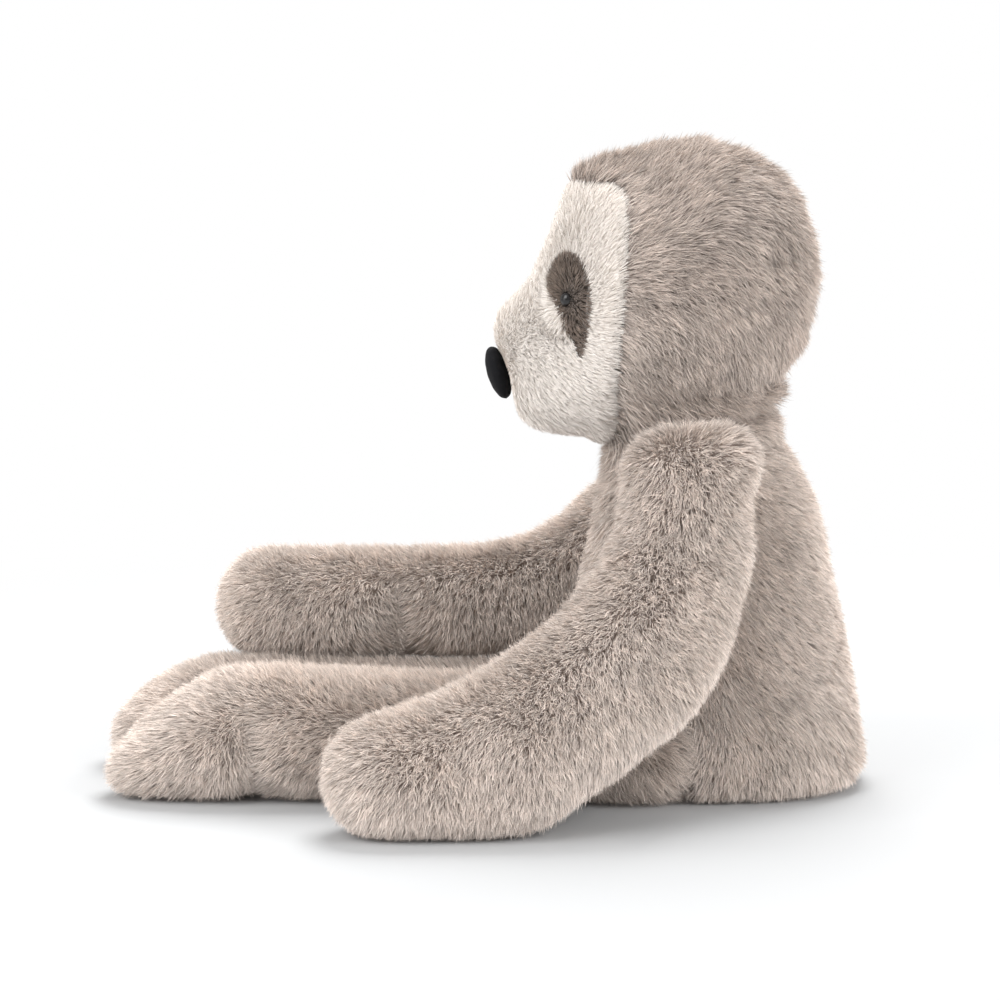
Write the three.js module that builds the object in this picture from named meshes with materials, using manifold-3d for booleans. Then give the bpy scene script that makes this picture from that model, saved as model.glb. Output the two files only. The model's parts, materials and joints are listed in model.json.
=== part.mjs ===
// A seated plush sloth with a hooded head, a sewn-in face, long hanging arms and legs laid out in front.
// Millimetres. +Z is up, the sloth faces -Y and its own left side is +X.
// The origin lies on the floor, below the side seams of the torso.

import * as THREE from 'three';
import { mergeVertices } from 'three/addons/utils/BufferGeometryUtils.js';
import Module from 'manifold-3d';

const wasm = await Module();
wasm.setup();

// Fabric and clearances
const coverWall = 4.5;          // pile pressed flat on its backing
const seamGap = 0.3;            // between two pieces that are sewn or seated together
const pressDepth = 0.5;         // how far a round limb is pressed flat where it rests
const cutterReach = 300;        // how far a cutting block runs past what it cuts

// Torso
const torsoTop = 152;
const torsoFront = 57;
const torsoBack = 57.4;
const torsoHalfWidth = 50;
const sideSeamY = -3;
const beanPouchTop = 20;

// Neck: a domed torso top inside a round hollow in the head
const neckY = -3;
const neckZ = 108;
const neckRadius = 42;
const neckPlay = 2.6;           // room between dome and hollow for the seam
const neckSlip = 0.7;           // running room on each face of the seam ring
const neckSeamLow = 30.5;       // measured from the neck's centre, square to the seam
const neckSeamHigh = 33.5;
const neckSeamLean = 0.24;      // radians, the seam sits lower in front

// Head
const headBack = 40.3;
const headLength = 122.6;
const headBottom = 128.5;
const headHeight = 116;
const headHalfWidth = 50.5;
const hoodEdgeY = -38.5;
const hoodFringeZ = 224;
const crownSeamZ = 205;

// Eyes and their patches
const eyeLateral = 35.5;
const eyeZ = 184;
const gazeAngle = 0.93;         // radians, each eye looks outward from straight ahead
const eyeRadius = 3.6;
const eyeDome = 3;
const eyeSink = 1.4;            // how deep the bead's back sits in the patch
const stemRadius = 1.4;
const washerRadius = 6;
const washerThick = 1.8;
const stemPastWasher = 1.5;
const patchHalfWidth = 10.5;
const patchRise = 17;           // from the eye up to the patch's top
const patchDrop = 23;           // from the eye down to the patch's tip
const patchSweep = 6;           // how far the tip trails outward
const patchThick = 2.6;
const patchCutDepth = 14.4;     // of the outline pushed through the face, half of it each way

// Nose
const noseHalfWidth = 11;
const noseHalfHeight = 10.5;
const noseHalfDepth = 4.4;
const noseProud = 0.3;          // how far the nose's middle stands before the muzzle's tip
const noseZ = 156;
const noseLean = 0.3;           // radians, the nose's underside runs back

// Arms
const shoulderY = -12;
const shoulderZ = 115;
const shoulderSeatX = 33;
const shoulderSeatRadius = 17;
const shoulderFlare = 0.35;     // how fast an arm's root widens outward from its seat
const shoulderRootRadius = 21.5;  // where the flare ends
const armPlaneX = 38.8;         // where the arm's inner face leaves the flank
const armSplay = 0.15;          // outward slope of the arm's inner face
const armHalfThickness = 25;
const leftArmReach = 131;       // from the shoulder forward to the fingertips
const leftHandOut = 14;         // extra outward lean of the resting hand
const rightArmReach = 184;
const rightHandX = 43;
const rightHalfThickness = 21.8;

// Legs
const hipY = -36;
const hipZ = 22.5;
const hipRadius = 22.5;
const hipPlay = 0.6;
const hipLift = 0.38;           // slope of the belly cut that lets a leg rise
const legX = 28.5;
const legHalfWidth = 24.8;
const leftLegReach = 192;       // from the hip forward to the toe
const rightLegReach = 199;
const leftLegHeight = 49;
const rightLegHeight = 43.6;

// Facets
const torsoCount = 20;
const headCount = 22;
const limbCount = 12;
const ballColumns = 28;
const ballRows = 14;
const drumCount = 22;
const smallCount = 12;
const capSteps = 3;
const searchSteps = 30;         // halvings when a place on the face is looked for
const fabricPower = 2.3;        // plumpness of a stuffed section, 2 is an ellipse
const headPower = 2.15;         // the same for the head
const blockSpanShare = 1.28;    // reach of a limb's parting block against the limb's half thickness
const legEndPower = 4;          // plumpness of a leg's root seen from above

// Colours
const furMaterial = { color: 0xb3a59a, roughness: 0.95, metalness: 0 };
const creamMaterial = { color: 0xece6dc, roughness: 0.95, metalness: 0 };
const patchMaterial = { color: 0x6d6259, roughness: 0.95, metalness: 0 };
const noseMaterial = { color: 0x17161a, roughness: 0.85, metalness: 0 };
const eyeMaterial = { color: 0x0b0a0a, roughness: 0.12, metalness: 0 };
const washerMaterial = { color: 0xe8e8e4, roughness: 0.5, metalness: 0 };
const fillMaterial = { color: 0xf4f4f1, roughness: 1, metalness: 0 };
const pouchMaterial = { color: 0xd9d2c4, roughness: 0.9, metalness: 0 };
const threadMaterial = { color: 0xa99b8f, roughness: 0.8, metalness: 0 };

const vec = (x, y, z) => new THREE.Vector3(x, y, z);

// Solids, cuts and joins

function toSolid(geometry) {
  const bare = geometry.clone();
  bare.deleteAttribute('normal');
  bare.deleteAttribute('uv');
  const merged = mergeVertices(bare);
  const vertProperties = new Float32Array(merged.attributes.position.array);
  const triVerts = new Uint32Array(merged.index.array);
  return new wasm.Manifold(new wasm.Mesh({ numProp: 3, vertProperties, triVerts }));
}

function toGeometry(solid) {
  const mesh = solid.getMesh();
  const geometry = new THREE.BufferGeometry();
  geometry.setAttribute('position', new THREE.BufferAttribute(mesh.vertProperties, 3));
  geometry.setIndex(new THREE.BufferAttribute(mesh.triVerts, 1));
  return geometry;
}

function block(low, high) {
  const size = high.clone().sub(low);
  const middle = high.clone().add(low).multiplyScalar(0.5);
  const geometry = new THREE.BoxGeometry(size.x, size.y, size.z);
  geometry.translate(middle.x, middle.y, middle.z);
  return toSolid(geometry);
}

function ball(centre, radius) {
  const geometry = new THREE.SphereGeometry(radius, ballColumns, ballRows);
  geometry.translate(centre.x, centre.y, centre.z);
  return toSolid(geometry);
}

// A round bar along X from one lateral place to another
function barAlongX(y, z, radius, fromX, toX, count) {
  const geometry = new THREE.CylinderGeometry(radius, radius, toX - fromX, count);
  geometry.rotateZ(Math.PI / 2);
  geometry.translate((fromX + toX) / 2, y, z);
  return toSolid(geometry);
}

// Rings of points joined into one closed solid; a ring of one point is a pole
function loft(rings) {
  const points = [];
  const starts = [];
  for (const ring of rings) {
    starts.push(points.length);
    points.push(...ring);
  }
  const faces = [];
  for (let k = 1; k < rings.length; k += 1) {
    joinRings(faces, rings[k - 1].length, starts[k - 1], rings[k].length, starts[k]);
  }
  closeEnd(faces, points, rings[0], starts[0], false);
  closeEnd(faces, points, rings.at(-1), starts.at(-1), true);
  if (signedVolume(points, faces) < 0) {
    faces.forEach((face) => face.reverse());
  }
  const geometry = new THREE.BufferGeometry().setFromPoints(points);
  geometry.setIndex(faces.flat());
  return toSolid(geometry);
}

function joinRings(faces, lowCount, low, highCount, high) {
  const count = Math.max(lowCount, highCount);
  for (let i = 0; i < count; i += 1) {
    const next = (i + 1) % count;
    if (lowCount === 1) {
      faces.push([low, high + i, high + next]);
    } else if (highCount === 1) {
      faces.push([low + i, high, low + next]);
    } else {
      faces.push([low + i, high + i, high + next]);
      faces.push([low + i, high + next, low + next]);
    }
  }
}

function closeEnd(faces, points, ring, start, last) {
  if (ring.length === 1) {
    return;
  }
  const middle = ring.reduce((sum, point) => sum.add(point), vec(0, 0, 0));
  points.push(middle.divideScalar(ring.length));
  const centre = points.length - 1;
  for (let i = 0; i < ring.length; i += 1) {
    const next = (i + 1) % ring.length;
    faces.push(last ? [centre, start + next, start + i] : [centre, start + i, start + next]);
  }
}

function signedVolume(points, faces) {
  let sum = 0;
  for (const [a, b, c] of faces) {
    sum += points[a].dot(points[b].clone().cross(points[c])) / 6;
  }
  return sum;
}

// Cosine and sine of one point of a plump, rounded section
function plump(angle, power) {
  const squash = (value) => Math.sign(value) * Math.abs(value) ** (2 / power);
  return [squash(Math.cos(angle)), squash(Math.sin(angle))];
}

// A body built on stations: { along, low, high, half }, with half 0 at a pole.
// place(along, cross, side) turns a station's point into the sloth's own frame.
function stationSolid(stations, place, inset, count, power) {
  const first = stations[0].along;
  const last = stations.at(-1).along;
  const middle = (first + last) / 2;
  const reach = Math.abs(last - first) / 2;
  const rings = stations.map(({ along, low, high, half }) => {
    const shifted = middle + (along - middle) * (reach - inset) / reach;
    const cross = (low + high) / 2;
    if (half === 0) {
      return [place(shifted, cross, 0)];
    }
    const halfCross = (high - low) / 2 - inset;
    const ring = [];
    for (let i = 0; i < count; i += 1) {
      const [c, s] = plump((2 * Math.PI * i) / count, power);
      ring.push(place(shifted, cross + halfCross * s, (half - inset) * c));
    }
    return ring;
  });
  return loft(rings);
}

// Torso

// Height, front, back and width, as shares of the torso's own sizes
const torsoShares = [
  [0, 0.86, 0.84, 0.84],
  [0.02, 0.95, 0.94, 0.94],
  [0.066, 1, 1, 1],
  [0.217, 0.985, 0.94, 0.99],
  [0.322, 0.95, 0.88, 0.95],
  [0.42, 0.92, 0.828, 0.91],
  [0.52, 0.89, 0.776, 0.875],
  [0.625, 0.835, 0.714, 0.83],
  [0.724, 0.79, 0.645, 0.78],
  [0.829, 0.735, 0.54, 0.705],
  [0.908, 0.69, 0.43, 0.63],
  [1, 0.62, 0.35, 0.54],
];

const torsoStations = torsoShares.map(([rise, front, back, width]) => ({
  along: rise * torsoTop,
  low: -front * torsoFront,
  high: back * torsoBack,
  half: width * torsoHalfWidth,
}));

const neckCentre = vec(0, neckY, neckZ);

// The hip recess: a drum across the torso, open downward and forward for both legs
function hipRecess(grow) {
  const radius = hipRadius + hipPlay + grow;
  const drum = barAlongX(hipY, hipZ, radius, -cutterReach, cutterReach, drumCount);
  const corner = vec(cutterReach, hipY + radius, hipZ);
  const below = block(vec(-cutterReach, -cutterReach, -cutterReach), corner);
  const outline = new THREE.Shape();
  outline.moveTo(hipY, hipZ);
  outline.lineTo(hipY, hipZ + radius);
  outline.lineTo(hipY - cutterReach, hipZ + radius + cutterReach * hipLift);
  outline.lineTo(hipY - cutterReach, hipZ);
  outline.closePath();
  const ahead = new THREE.ExtrudeGeometry(outline, { depth: 2 * cutterReach, bevelEnabled: false });
  ahead.translate(0, 0, -cutterReach);
  ahead.applyMatrix4(new THREE.Matrix4().makeBasis(vec(0, 1, 0), vec(0, 0, 1), vec(1, 0, 0)));
  return drum.add(below).add(toSolid(ahead));
}

// A round plug on the shoulder's axis, flat toward the torso and flaring outward as far as toX.
// The torso's seat and the arm's root are both this shape, one grown and one shrunk.
function shoulderPlug(side, grow, toX) {
  const seatX = shoulderSeatX - grow;
  const narrow = shoulderSeatRadius + grow;
  const wide = shoulderRootRadius + grow;
  const flareEnd = seatX + (wide - narrow) / shoulderFlare;
  const profile = [[0, seatX], [narrow, seatX], [wide, flareEnd], [wide, toX], [0, toX]];
  const points = profile.map(([radius, x]) => new THREE.Vector2(radius, x));
  const geometry = new THREE.LatheGeometry(points, drumCount);
  geometry.rotateZ(-side * Math.PI / 2);
  geometry.translate(0, shoulderY, shoulderZ);
  return toSolid(geometry);
}

function shoulderSeats(grow) {
  return shoulderPlug(1, grow, cutterReach).add(shoulderPlug(-1, grow, cutterReach));
}

function torsoSolid(inset) {
  const place = (along, cross, side) => vec(side, cross, along);
  const whole = stationSolid(torsoStations, place, inset, torsoCount, fabricPower);
  const high = vec(cutterReach, cutterReach, neckZ);
  const belowNeck = block(vec(-cutterReach, -cutterReach, -cutterReach), high);
  const domed = whole.intersect(ball(neckCentre, neckRadius - inset).add(belowNeck));
  return domed.subtract(hipRecess(inset)).subtract(shoulderSeats(inset));
}

const everywhere = (fromY, toY, fromZ, toZ) =>
  block(vec(-cutterReach, fromY, fromZ), vec(cutterReach, toY, toZ));

const halfGap = seamGap / 2;
const torsoOuter = torsoSolid(0);
const torsoShell = torsoOuter.subtract(torsoSolid(coverWall));
const torsoFill = torsoSolid(coverWall + seamGap);
const frontBlock = everywhere(-cutterReach, sideSeamY - halfGap, coverWall + seamGap, cutterReach);
const backBlock = everywhere(sideSeamY + halfGap, cutterReach, coverWall + seamGap, cutterReach);
const seatBlock = everywhere(-cutterReach, cutterReach, -cutterReach, coverWall);
const pouchBlock = everywhere(-cutterReach, cutterReach, 0, beanPouchTop);
const abovePouchBlock = everywhere(-cutterReach, cutterReach, beanPouchTop + seamGap, cutterReach);

// The seam ring lies in the play between the dome and the head's hollow
function neckSeamSolid() {
  const outside = ball(neckCentre, neckRadius + neckPlay - neckSlip);
  const inside = ball(neckCentre, neckRadius + neckSlip);
  const slab = new THREE.BoxGeometry(cutterReach, cutterReach, neckSeamHigh - neckSeamLow);
  slab.translate(0, 0, (neckSeamHigh + neckSeamLow) / 2);
  slab.rotateX(neckSeamLean);
  slab.translate(neckCentre.x, neckCentre.y, neckCentre.z);
  return outside.subtract(inside).intersect(toSolid(slab));
}

// Head

// Place from back to muzzle, underside, top and width, as shares of the head's own sizes
const headShares = [
  [0, 0.556, 0.556, 0],
  [0.016, 0.435, 0.67, 0.26],
  [0.065, 0.265, 0.826, 0.55],
  [0.127, 0.155, 0.902, 0.73],
  [0.22, 0.095, 0.958, 0.885],
  [0.375, 0.045, 1, 0.985],
  [0.53, 0.01, 0.983, 1],
  [0.622, 0, 0.95, 0.975],
  [0.69, 0.004, 0.925, 0.93],
  [0.752, 0.01, 0.88, 0.86],
  [0.794, 0.016, 0.815, 0.785],
  [0.84, 0.03, 0.69, 0.68],
  [0.902, 0.055, 0.545, 0.54],
  [0.964, 0.11, 0.455, 0.37],
  [0.99, 0.165, 0.4, 0.22],
  [1, 0.26, 0.26, 0],
];

const headStations = headShares.map(([back, under, over, width]) => ({
  along: headBack - back * headLength,
  low: headBottom + under * headHeight,
  high: headBottom + over * headHeight,
  half: width * headHalfWidth,
}));

function headSolid(inset) {
  const place = (along, cross, side) => vec(side, along, cross);
  const whole = stationSolid(headStations, place, inset, headCount, headPower);
  return whole.subtract(ball(neckCentre, neckRadius + neckPlay + inset));
}

// How far forward the head's surface lies at one lateral place and height
function headFrontAt(x, z) {
  let inside = neckY;
  let outside = headBack - headLength;
  for (let step = 0; step < searchSteps; step += 1) {
    const y = (inside + outside) / 2;
    if (insideHead(x, y, z)) {
      inside = y;
    } else {
      outside = y;
    }
  }
  return inside;
}

function insideHead(x, y, z) {
  const after = headStations.findIndex((station) => station.along <= y);
  if (after < 1) {
    return false;
  }
  const a = headStations[after - 1];
  const b = headStations[after];
  const share = (a.along - y) / (a.along - b.along);
  const mix = (key) => a[key] + (b[key] - a[key]) * share;
  const halfHeight = (mix('high') - mix('low')) / 2;
  const acrossShare = Math.abs(x) / mix('half');
  const upShare = Math.abs(z - (mix('high') + mix('low')) / 2) / halfHeight;
  return acrossShare ** headPower + upShare ** headPower < 1;
}

const headShell = headSolid(0).subtract(headSolid(coverWall));
const headFill = headSolid(coverWall + seamGap);

// Eye place: the point on the face and the way the eye looks, with the side as +1 or -1
function eyeFrame(side) {
  const point = vec(side * eyeLateral, headFrontAt(eyeLateral, eyeZ), eyeZ);
  const gaze = vec(side * Math.sin(gazeAngle), -Math.cos(gazeAngle), 0);
  const up = vec(0, 0, 1);
  const across = vec(0, 0, 0).crossVectors(up, gaze);
  return new THREE.Matrix4().makeBasis(across, up, gaze).setPosition(point);
}

// A solid drawn about the gaze line, turned and moved to one eye
function atEye(geometry, side) {
  return toSolid(geometry.clone().applyMatrix4(eyeFrame(side)));
}

// A disc or rod on the gaze line; distances count outward from the face
function gazeRod(radius, from, to, side) {
  const geometry = new THREE.CylinderGeometry(radius, radius, to - from, smallCount);
  geometry.rotateX(Math.PI / 2);
  geometry.translate(0, 0, (from + to) / 2);
  return atEye(geometry, side);
}

const eyeBack = -eyeSink;
const washerFront = seamGap - coverWall;
const washerBack = washerFront - washerThick;
const stemEnd = washerBack - stemPastWasher;

function eyeSolid(side) {
  const profile = [new THREE.Vector2(0, stemEnd), new THREE.Vector2(stemRadius, stemEnd)];
  profile.push(new THREE.Vector2(stemRadius, eyeBack));
  for (let step = 0; step <= 2 * capSteps; step += 1) {
    const angle = (Math.PI / 2) * (step / (2 * capSteps));
    const radius = step === 2 * capSteps ? 0 : eyeRadius * Math.cos(angle);
    profile.push(new THREE.Vector2(radius, eyeBack + eyeDome * Math.sin(angle)));
  }
  const geometry = new THREE.LatheGeometry(profile, smallCount);
  geometry.rotateX(Math.PI / 2);
  return atEye(geometry, side);
}

function washerSolid(side) {
  const disc = gazeRod(washerRadius, washerBack, washerFront, side);
  return disc.subtract(gazeRod(stemRadius + seamGap, stemEnd, seamGap, side));
}

// Room in the fabric and the filling for the bead, its stem and its washer
function eyeRoom(side) {
  const bead = gazeRod(eyeRadius + seamGap, eyeBack - seamGap, eyeDome + eyeRadius, side);
  const stem = gazeRod(stemRadius + seamGap, stemEnd - seamGap, 0, side);
  const washer = gazeRod(washerRadius + seamGap, stemEnd - seamGap, washerFront + seamGap, side);
  return bead.add(stem).add(washer);
}

// Bulges of the patch's outline, as shares of its half width or of its height above or below
const patchCrownShare = 0.75;
const patchBrowShare = 1.05;
const patchSideShare = 0.98;
const patchCheekShare = 0.95;
const patchTipShare = 0.35;
const patchTurnShare = 0.45;

// The patch's teardrop: round above, drawn down and outward to a soft point
function patchPrism(side, grow) {
  const half = patchHalfWidth + grow;
  const top = patchRise + grow;
  const tipY = -patchDrop - grow;
  const tipX = side * patchSweep;
  const crown = half * patchCrownShare;
  const brow = half * patchBrowShare;
  const widest = half * patchSideShare;
  const cheek = half * patchCheekShare;
  const blunt = half * patchTipShare;
  const turnUp = top * patchTurnShare;
  const turnDown = tipY * patchTurnShare;
  const outline = new THREE.Shape();
  outline.moveTo(0, top);
  outline.bezierCurveTo(crown, top, brow, turnUp, widest, 0);
  outline.bezierCurveTo(cheek, turnDown, tipX + blunt, tipY, tipX, tipY);
  outline.bezierCurveTo(tipX - blunt, tipY, -cheek, turnDown, -widest, 0);
  outline.bezierCurveTo(-brow, turnUp, -crown, top, 0, top);
  const settings = { depth: patchCutDepth, bevelEnabled: false, curveSegments: capSteps + 1 };
  const geometry = new THREE.ExtrudeGeometry(outline, settings);
  geometry.translate(0, 0, -patchCutDepth / 2);
  return atEye(geometry, side);
}

const headOuter = headSolid(0);
const patchBed = headSolid(patchThick);
const patchRoomBed = headSolid(patchThick + seamGap);

function noseSolid(grow) {
  const geometry = new THREE.SphereGeometry(1, smallCount, smallCount / 2);
  geometry.rotateX(Math.PI / 2);
  geometry.scale(noseHalfWidth + grow, noseHalfDepth + grow, noseHalfHeight + grow);
  geometry.rotateX(noseLean);
  geometry.translate(0, headBack - headLength - noseProud, noseZ);
  return toSolid(geometry);
}

const faceBlock = everywhere(-cutterReach, hoodEdgeY - halfGap, -cutterReach, hoodFringeZ - halfGap);
const faceRoom = everywhere(-cutterReach, hoodEdgeY + halfGap, -cutterReach, hoodFringeZ + halfGap);
const crownBlock = everywhere(-cutterReach, cutterReach, crownSeamZ + halfGap, cutterReach);

function hoodSideBlock(side) {
  const near = side > 0 ? halfGap : -cutterReach;
  const far = side > 0 ? cutterReach : -halfGap;
  return block(vec(near, -cutterReach, -cutterReach), vec(far, cutterReach, crownSeamZ - halfGap));
}

// Limbs that follow a curved line

// Distance of the arm's inner face from the middle plane, by distance from the shoulder.
// It widens with that distance, so the arm can swing past the flank.
function innerFaceX(y, z) {
  return armPlaneX + armSplay * Math.hypot(y - shoulderY, z - shoulderZ);
}

// Place forward, height, thickness and flatness along the left arm. Flatness is the thickness
// seen from the front against the thickness seen from the side: arms are sewn on flat.
const leftArmShares = [
  [-0.01, 1.225, 0.98, 0.68],
  [0.002, 1.07, 0.98, 0.72],
  [0.02, 0.9, 0.99, 0.78],
  [0.085, 0.71, 1.03, 0.84],
  [0.19, 0.52, 1.1, 0.88],
  [0.345, 0.365, 1.13, 0.92],
  [0.51, 0.262, 1.08, 0.95],
  [0.69, 0.2, 0.97, 0.97],
  [0.84, 0.176, 0.87, 0.98],
  [1, 0.17, 0.83, 0.98],
];

// The same for the right arm, with the place outward as a share of the hand's
const rightArmShares = [
  [0.02, 1.215, 1.31, 1.04, 0.68],
  [0.0, 1.06, 1.34, 1.06, 0.72],
  [0.025, 0.9, 1.4, 1.08, 0.78],
  [0.1, 0.73, 1.4, 1.08, 0.84],
  [0.21, 0.61, 1.27, 1.06, 0.9],
  [0.35, 0.572, 1.13, 1.03, 0.95],
  [0.5, 0.567, 1.05, 1.0, 0.97],
  [0.72, 0.567, 1.0, 1.0, 0.98],
  [0.88, 0.567, 1.0, 1.0, 0.98],
  [1, 0.567, 1.0, 0.96, 0.98],
];

// A limb is a line of points, each with the half thickness and flatness there
function leftArmLine() {
  return leftArmShares.map(([forward, height, thick, flat]) => {
    const y = shoulderY - forward * leftArmReach;
    const z = height * shoulderZ;
    const half = thick * armHalfThickness;
    const x = innerFaceX(y, z) + half * flat + leftHandOut * forward * forward;
    return { point: vec(x, y, z), half, flat };
  });
}

function rightArmLine() {
  return rightArmShares.map(([forward, height, outward, thick, flat]) => ({
    point: vec(-outward * rightHandX, shoulderY - forward * rightArmReach, height * shoulderZ),
    half: thick * rightHalfThickness,
    flat,
  }));
}

// Rings square to the line, closing in a round cap at each end
function limbRings(line, inset, count) {
  const curve = new THREE.CatmullRomCurve3(line.map((entry) => entry.point));
  const length = curve.getLength();
  const between = (key, share) => {
    const place = share * (line.length - 1);
    const index = Math.min(Math.floor(place), line.length - 2);
    const rest = place - index;
    return line[index][key] * (1 - rest) + line[index + 1][key] * rest;
  };
  const startHalf = line[0].half;
  const endHalf = line.at(-1).half;
  const places = [];
  for (let step = 0; step < capSteps; step += 1) {
    const angle = (Math.PI / 2) * (step / capSteps);
    const along = startHalf - (startHalf - inset) * Math.cos(angle);
    places.push({ share: along / length, cap: Math.sin(angle) });
  }
  const bodySteps = 2 * capSteps + 1;
  const from = startHalf / length;
  const to = 1 - endHalf / length;
  for (let step = 0; step <= bodySteps; step += 1) {
    places.push({ share: from + ((to - from) * step) / bodySteps, cap: 1 });
  }
  for (let step = capSteps - 1; step >= 0; step -= 1) {
    const angle = (Math.PI / 2) * (step / capSteps);
    const beforeEnd = endHalf - (endHalf - inset) * Math.cos(angle);
    places.push({ share: 1 - beforeEnd / length, cap: Math.sin(angle) });
  }
  return places.map(({ share, cap }) => {
    const t = curve.getUtoTmapping(share);
    const centre = curve.getPoint(t);
    const frame = crossFrame(curve.getTangent(t));
    const half = (between('half', t) - inset) * cap;
    const halfSide = (between('half', t) * between('flat', t) - inset) * cap;
    if (cap === 0) {
      return { centre, frame, half, ring: [centre] };
    }
    const ring = [];
    for (let i = 0; i < count; i += 1) {
      const [c, s] = plump((2 * Math.PI * i) / count, fabricPower);
      const outward = frame.outward.clone().multiplyScalar(c * halfSide);
      ring.push(centre.clone().add(outward).add(frame.over.clone().multiplyScalar(s * half)));
    }
    return { centre, frame, half, ring };
  });
}

// Directions square to a limb's line: outward to +X, and over its back
function crossFrame(tangent) {
  const outward = vec(1, 0, 0).addScaledVector(tangent, -tangent.x).normalize();
  const over = vec(0, 0, 0).crossVectors(tangent, outward);
  return { outward, over };
}

// Everything on the +X side of a limb's line, for parting its two panels
function outwardBlock(line, shift) {
  const stations = limbRings(line, 0, limbCount).filter((station) => station.half > 0);
  const span = blockSpanShare * line[0].half;
  const first = stations[0];
  const last = stations.at(-1);
  const rings = stations.map((station) => corners(station, station.centre));
  const tangentOf = ({ frame }) => vec(0, 0, 0).crossVectors(frame.outward, frame.over);
  const before = first.centre.clone().addScaledVector(tangentOf(first), -span);
  const after = last.centre.clone().addScaledVector(tangentOf(last), span);
  function corners(station, centre) {
    const near = centre.clone().addScaledVector(station.frame.outward, shift);
    const far = near.clone().addScaledVector(station.frame.outward, 2 * span);
    const over = station.frame.over.clone().multiplyScalar(span);
    return [near.clone().add(over), near.clone().sub(over), far.clone().sub(over), far.clone().add(over)];
  }
  return loft([corners(first, before), ...rings, corners(last, after)]);
}

// The shape of one arm, cut back to clear the flank; the left one also lies flat on the floor
function armSolid(side, inset) {
  const line = side > 0 ? leftArmLine() : rightArmLine();
  const whole = loft(limbRings(line, inset, limbCount).map((station) => station.ring));
  const high = vec(cutterReach, cutterReach, cutterReach);
  return whole.intersect(block(vec(-cutterReach, -cutterReach, inset), high));
}

// Two panels and a stuffing. The inner panel has the sewn root that fills the flank's seat.
function armPieces(side, name) {
  const line = side > 0 ? leftArmLine() : rightArmLine();
  const plug = shoulderPlug(side, -2 * seamGap, armPlaneX + armHalfThickness);
  const root = plug.subtract(armSolid(side, coverWall));
  const shell = armSolid(side, 0).subtract(armSolid(side, coverWall));
  const rooted = shell.add(root);
  const towardPlusX = outwardBlock(line, halfGap);
  const notTowardMinusX = outwardBlock(line, -halfGap);
  const inner = side > 0 ? rooted.subtract(notTowardMinusX) : rooted.intersect(towardPlusX);
  const outer = side > 0 ? shell.intersect(towardPlusX) : shell.subtract(notTowardMinusX);
  return [
    [`${name}_inner_panel`, inner, furMaterial],
    [`${name}_outer_panel`, outer, furMaterial],
    [`${name}_stuffing`, armSolid(side, coverWall + seamGap), fillMaterial],
  ];
}

// Legs

// Place from hip to toe, underside, top and width, as shares of reach, height and half width
const legShares = [
  [0.15, 0, 0.955, 1],
  [0.36, 0, 0.94, 0.99],
  [0.55, 0, 0.965, 0.99],
  [0.69, 0, 1, 1.01],
  [0.79, 0, 0.965, 0.99],
  [0.865, 0, 0.85, 0.93],
  [0.93, 0.01, 0.67, 0.8],
  [0.98, 0.06, 0.44, 0.55],
  [1, 0.2, 0.2, 0],
];

function legStations(reach, height) {
  const stations = [];
  const rootSteps = 2 * capSteps;
  for (let step = 0; step < rootSteps; step += 1) {
    const angle = (Math.PI / 2) * (step / rootSteps);
    const backShare = Math.cos(angle);
    const rise = hipRadius * Math.sin(angle);
    const wide = legHalfWidth * (1 - backShare ** legEndPower) ** (1 / legEndPower);
    stations.push({
      along: hipY + hipRadius * backShare,
      low: hipZ - rise,
      high: hipZ + rise,
      half: step === 0 ? 0 : wide,
    });
  }
  stations.push({ along: hipY, low: -pressDepth, high: hipZ + hipRadius, half: legHalfWidth });
  for (const [forward, under, over, width] of legShares) {
    stations.push({
      along: hipY - forward * reach,
      low: under * height - pressDepth,
      high: over * height,
      half: width * legHalfWidth,
    });
  }
  return stations;
}

function legSolid(side, inset) {
  const reach = side > 0 ? leftLegReach : rightLegReach;
  const height = side > 0 ? leftLegHeight : rightLegHeight;
  const place = (along, cross, across) => vec(side * legX + across, along, cross);
  const whole = stationSolid(legStations(reach, height), place, inset, limbCount, fabricPower);
  const high = vec(cutterReach, cutterReach, cutterReach);
  return whole.intersect(block(vec(-cutterReach, -cutterReach, inset), high));
}

function legPieces(side, name) {
  const shell = legSolid(side, 0).subtract(legSolid(side, coverWall));
  const aboveSeam = everywhere(-cutterReach, cutterReach, hipZ + halfGap, cutterReach);
  const belowSeam = everywhere(-cutterReach, cutterReach, 0, hipZ - halfGap);
  return [
    [`${name}_upper_panel`, shell.intersect(aboveSeam), furMaterial],
    [`${name}_lower_panel`, shell.intersect(belowSeam), furMaterial],
    [`${name}_stuffing`, legSolid(side, coverWall + seamGap), fillMaterial],
  ];
}

// Assembly

function facePieces() {
  let face = headShell.intersect(faceBlock).subtract(noseSolid(seamGap));
  let fill = headFill.subtract(noseSolid(seamGap));
  const pieces = [];
  for (const [side, name] of [[1, 'left'], [-1, 'right']]) {
    const room = eyeRoom(side);
    const patchRoom = patchPrism(side, seamGap).subtract(patchRoomBed);
    const patch = patchPrism(side, 0).intersect(headOuter).subtract(patchBed).subtract(room);
    face = face.subtract(patchRoom).subtract(room);
    fill = fill.subtract(room);
    pieces.push([`${name}_eye_patch`, patch, patchMaterial]);
    pieces.push([`${name}_eye`, eyeSolid(side), eyeMaterial]);
    pieces.push([`${name}_eye_washer`, washerSolid(side), washerMaterial]);
  }
  pieces.push(['face_panel', face, creamMaterial]);
  pieces.push(['nose', noseSolid(0), noseMaterial]);
  pieces.push(['head_stuffing', fill, fillMaterial]);
  return pieces;
}

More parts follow.
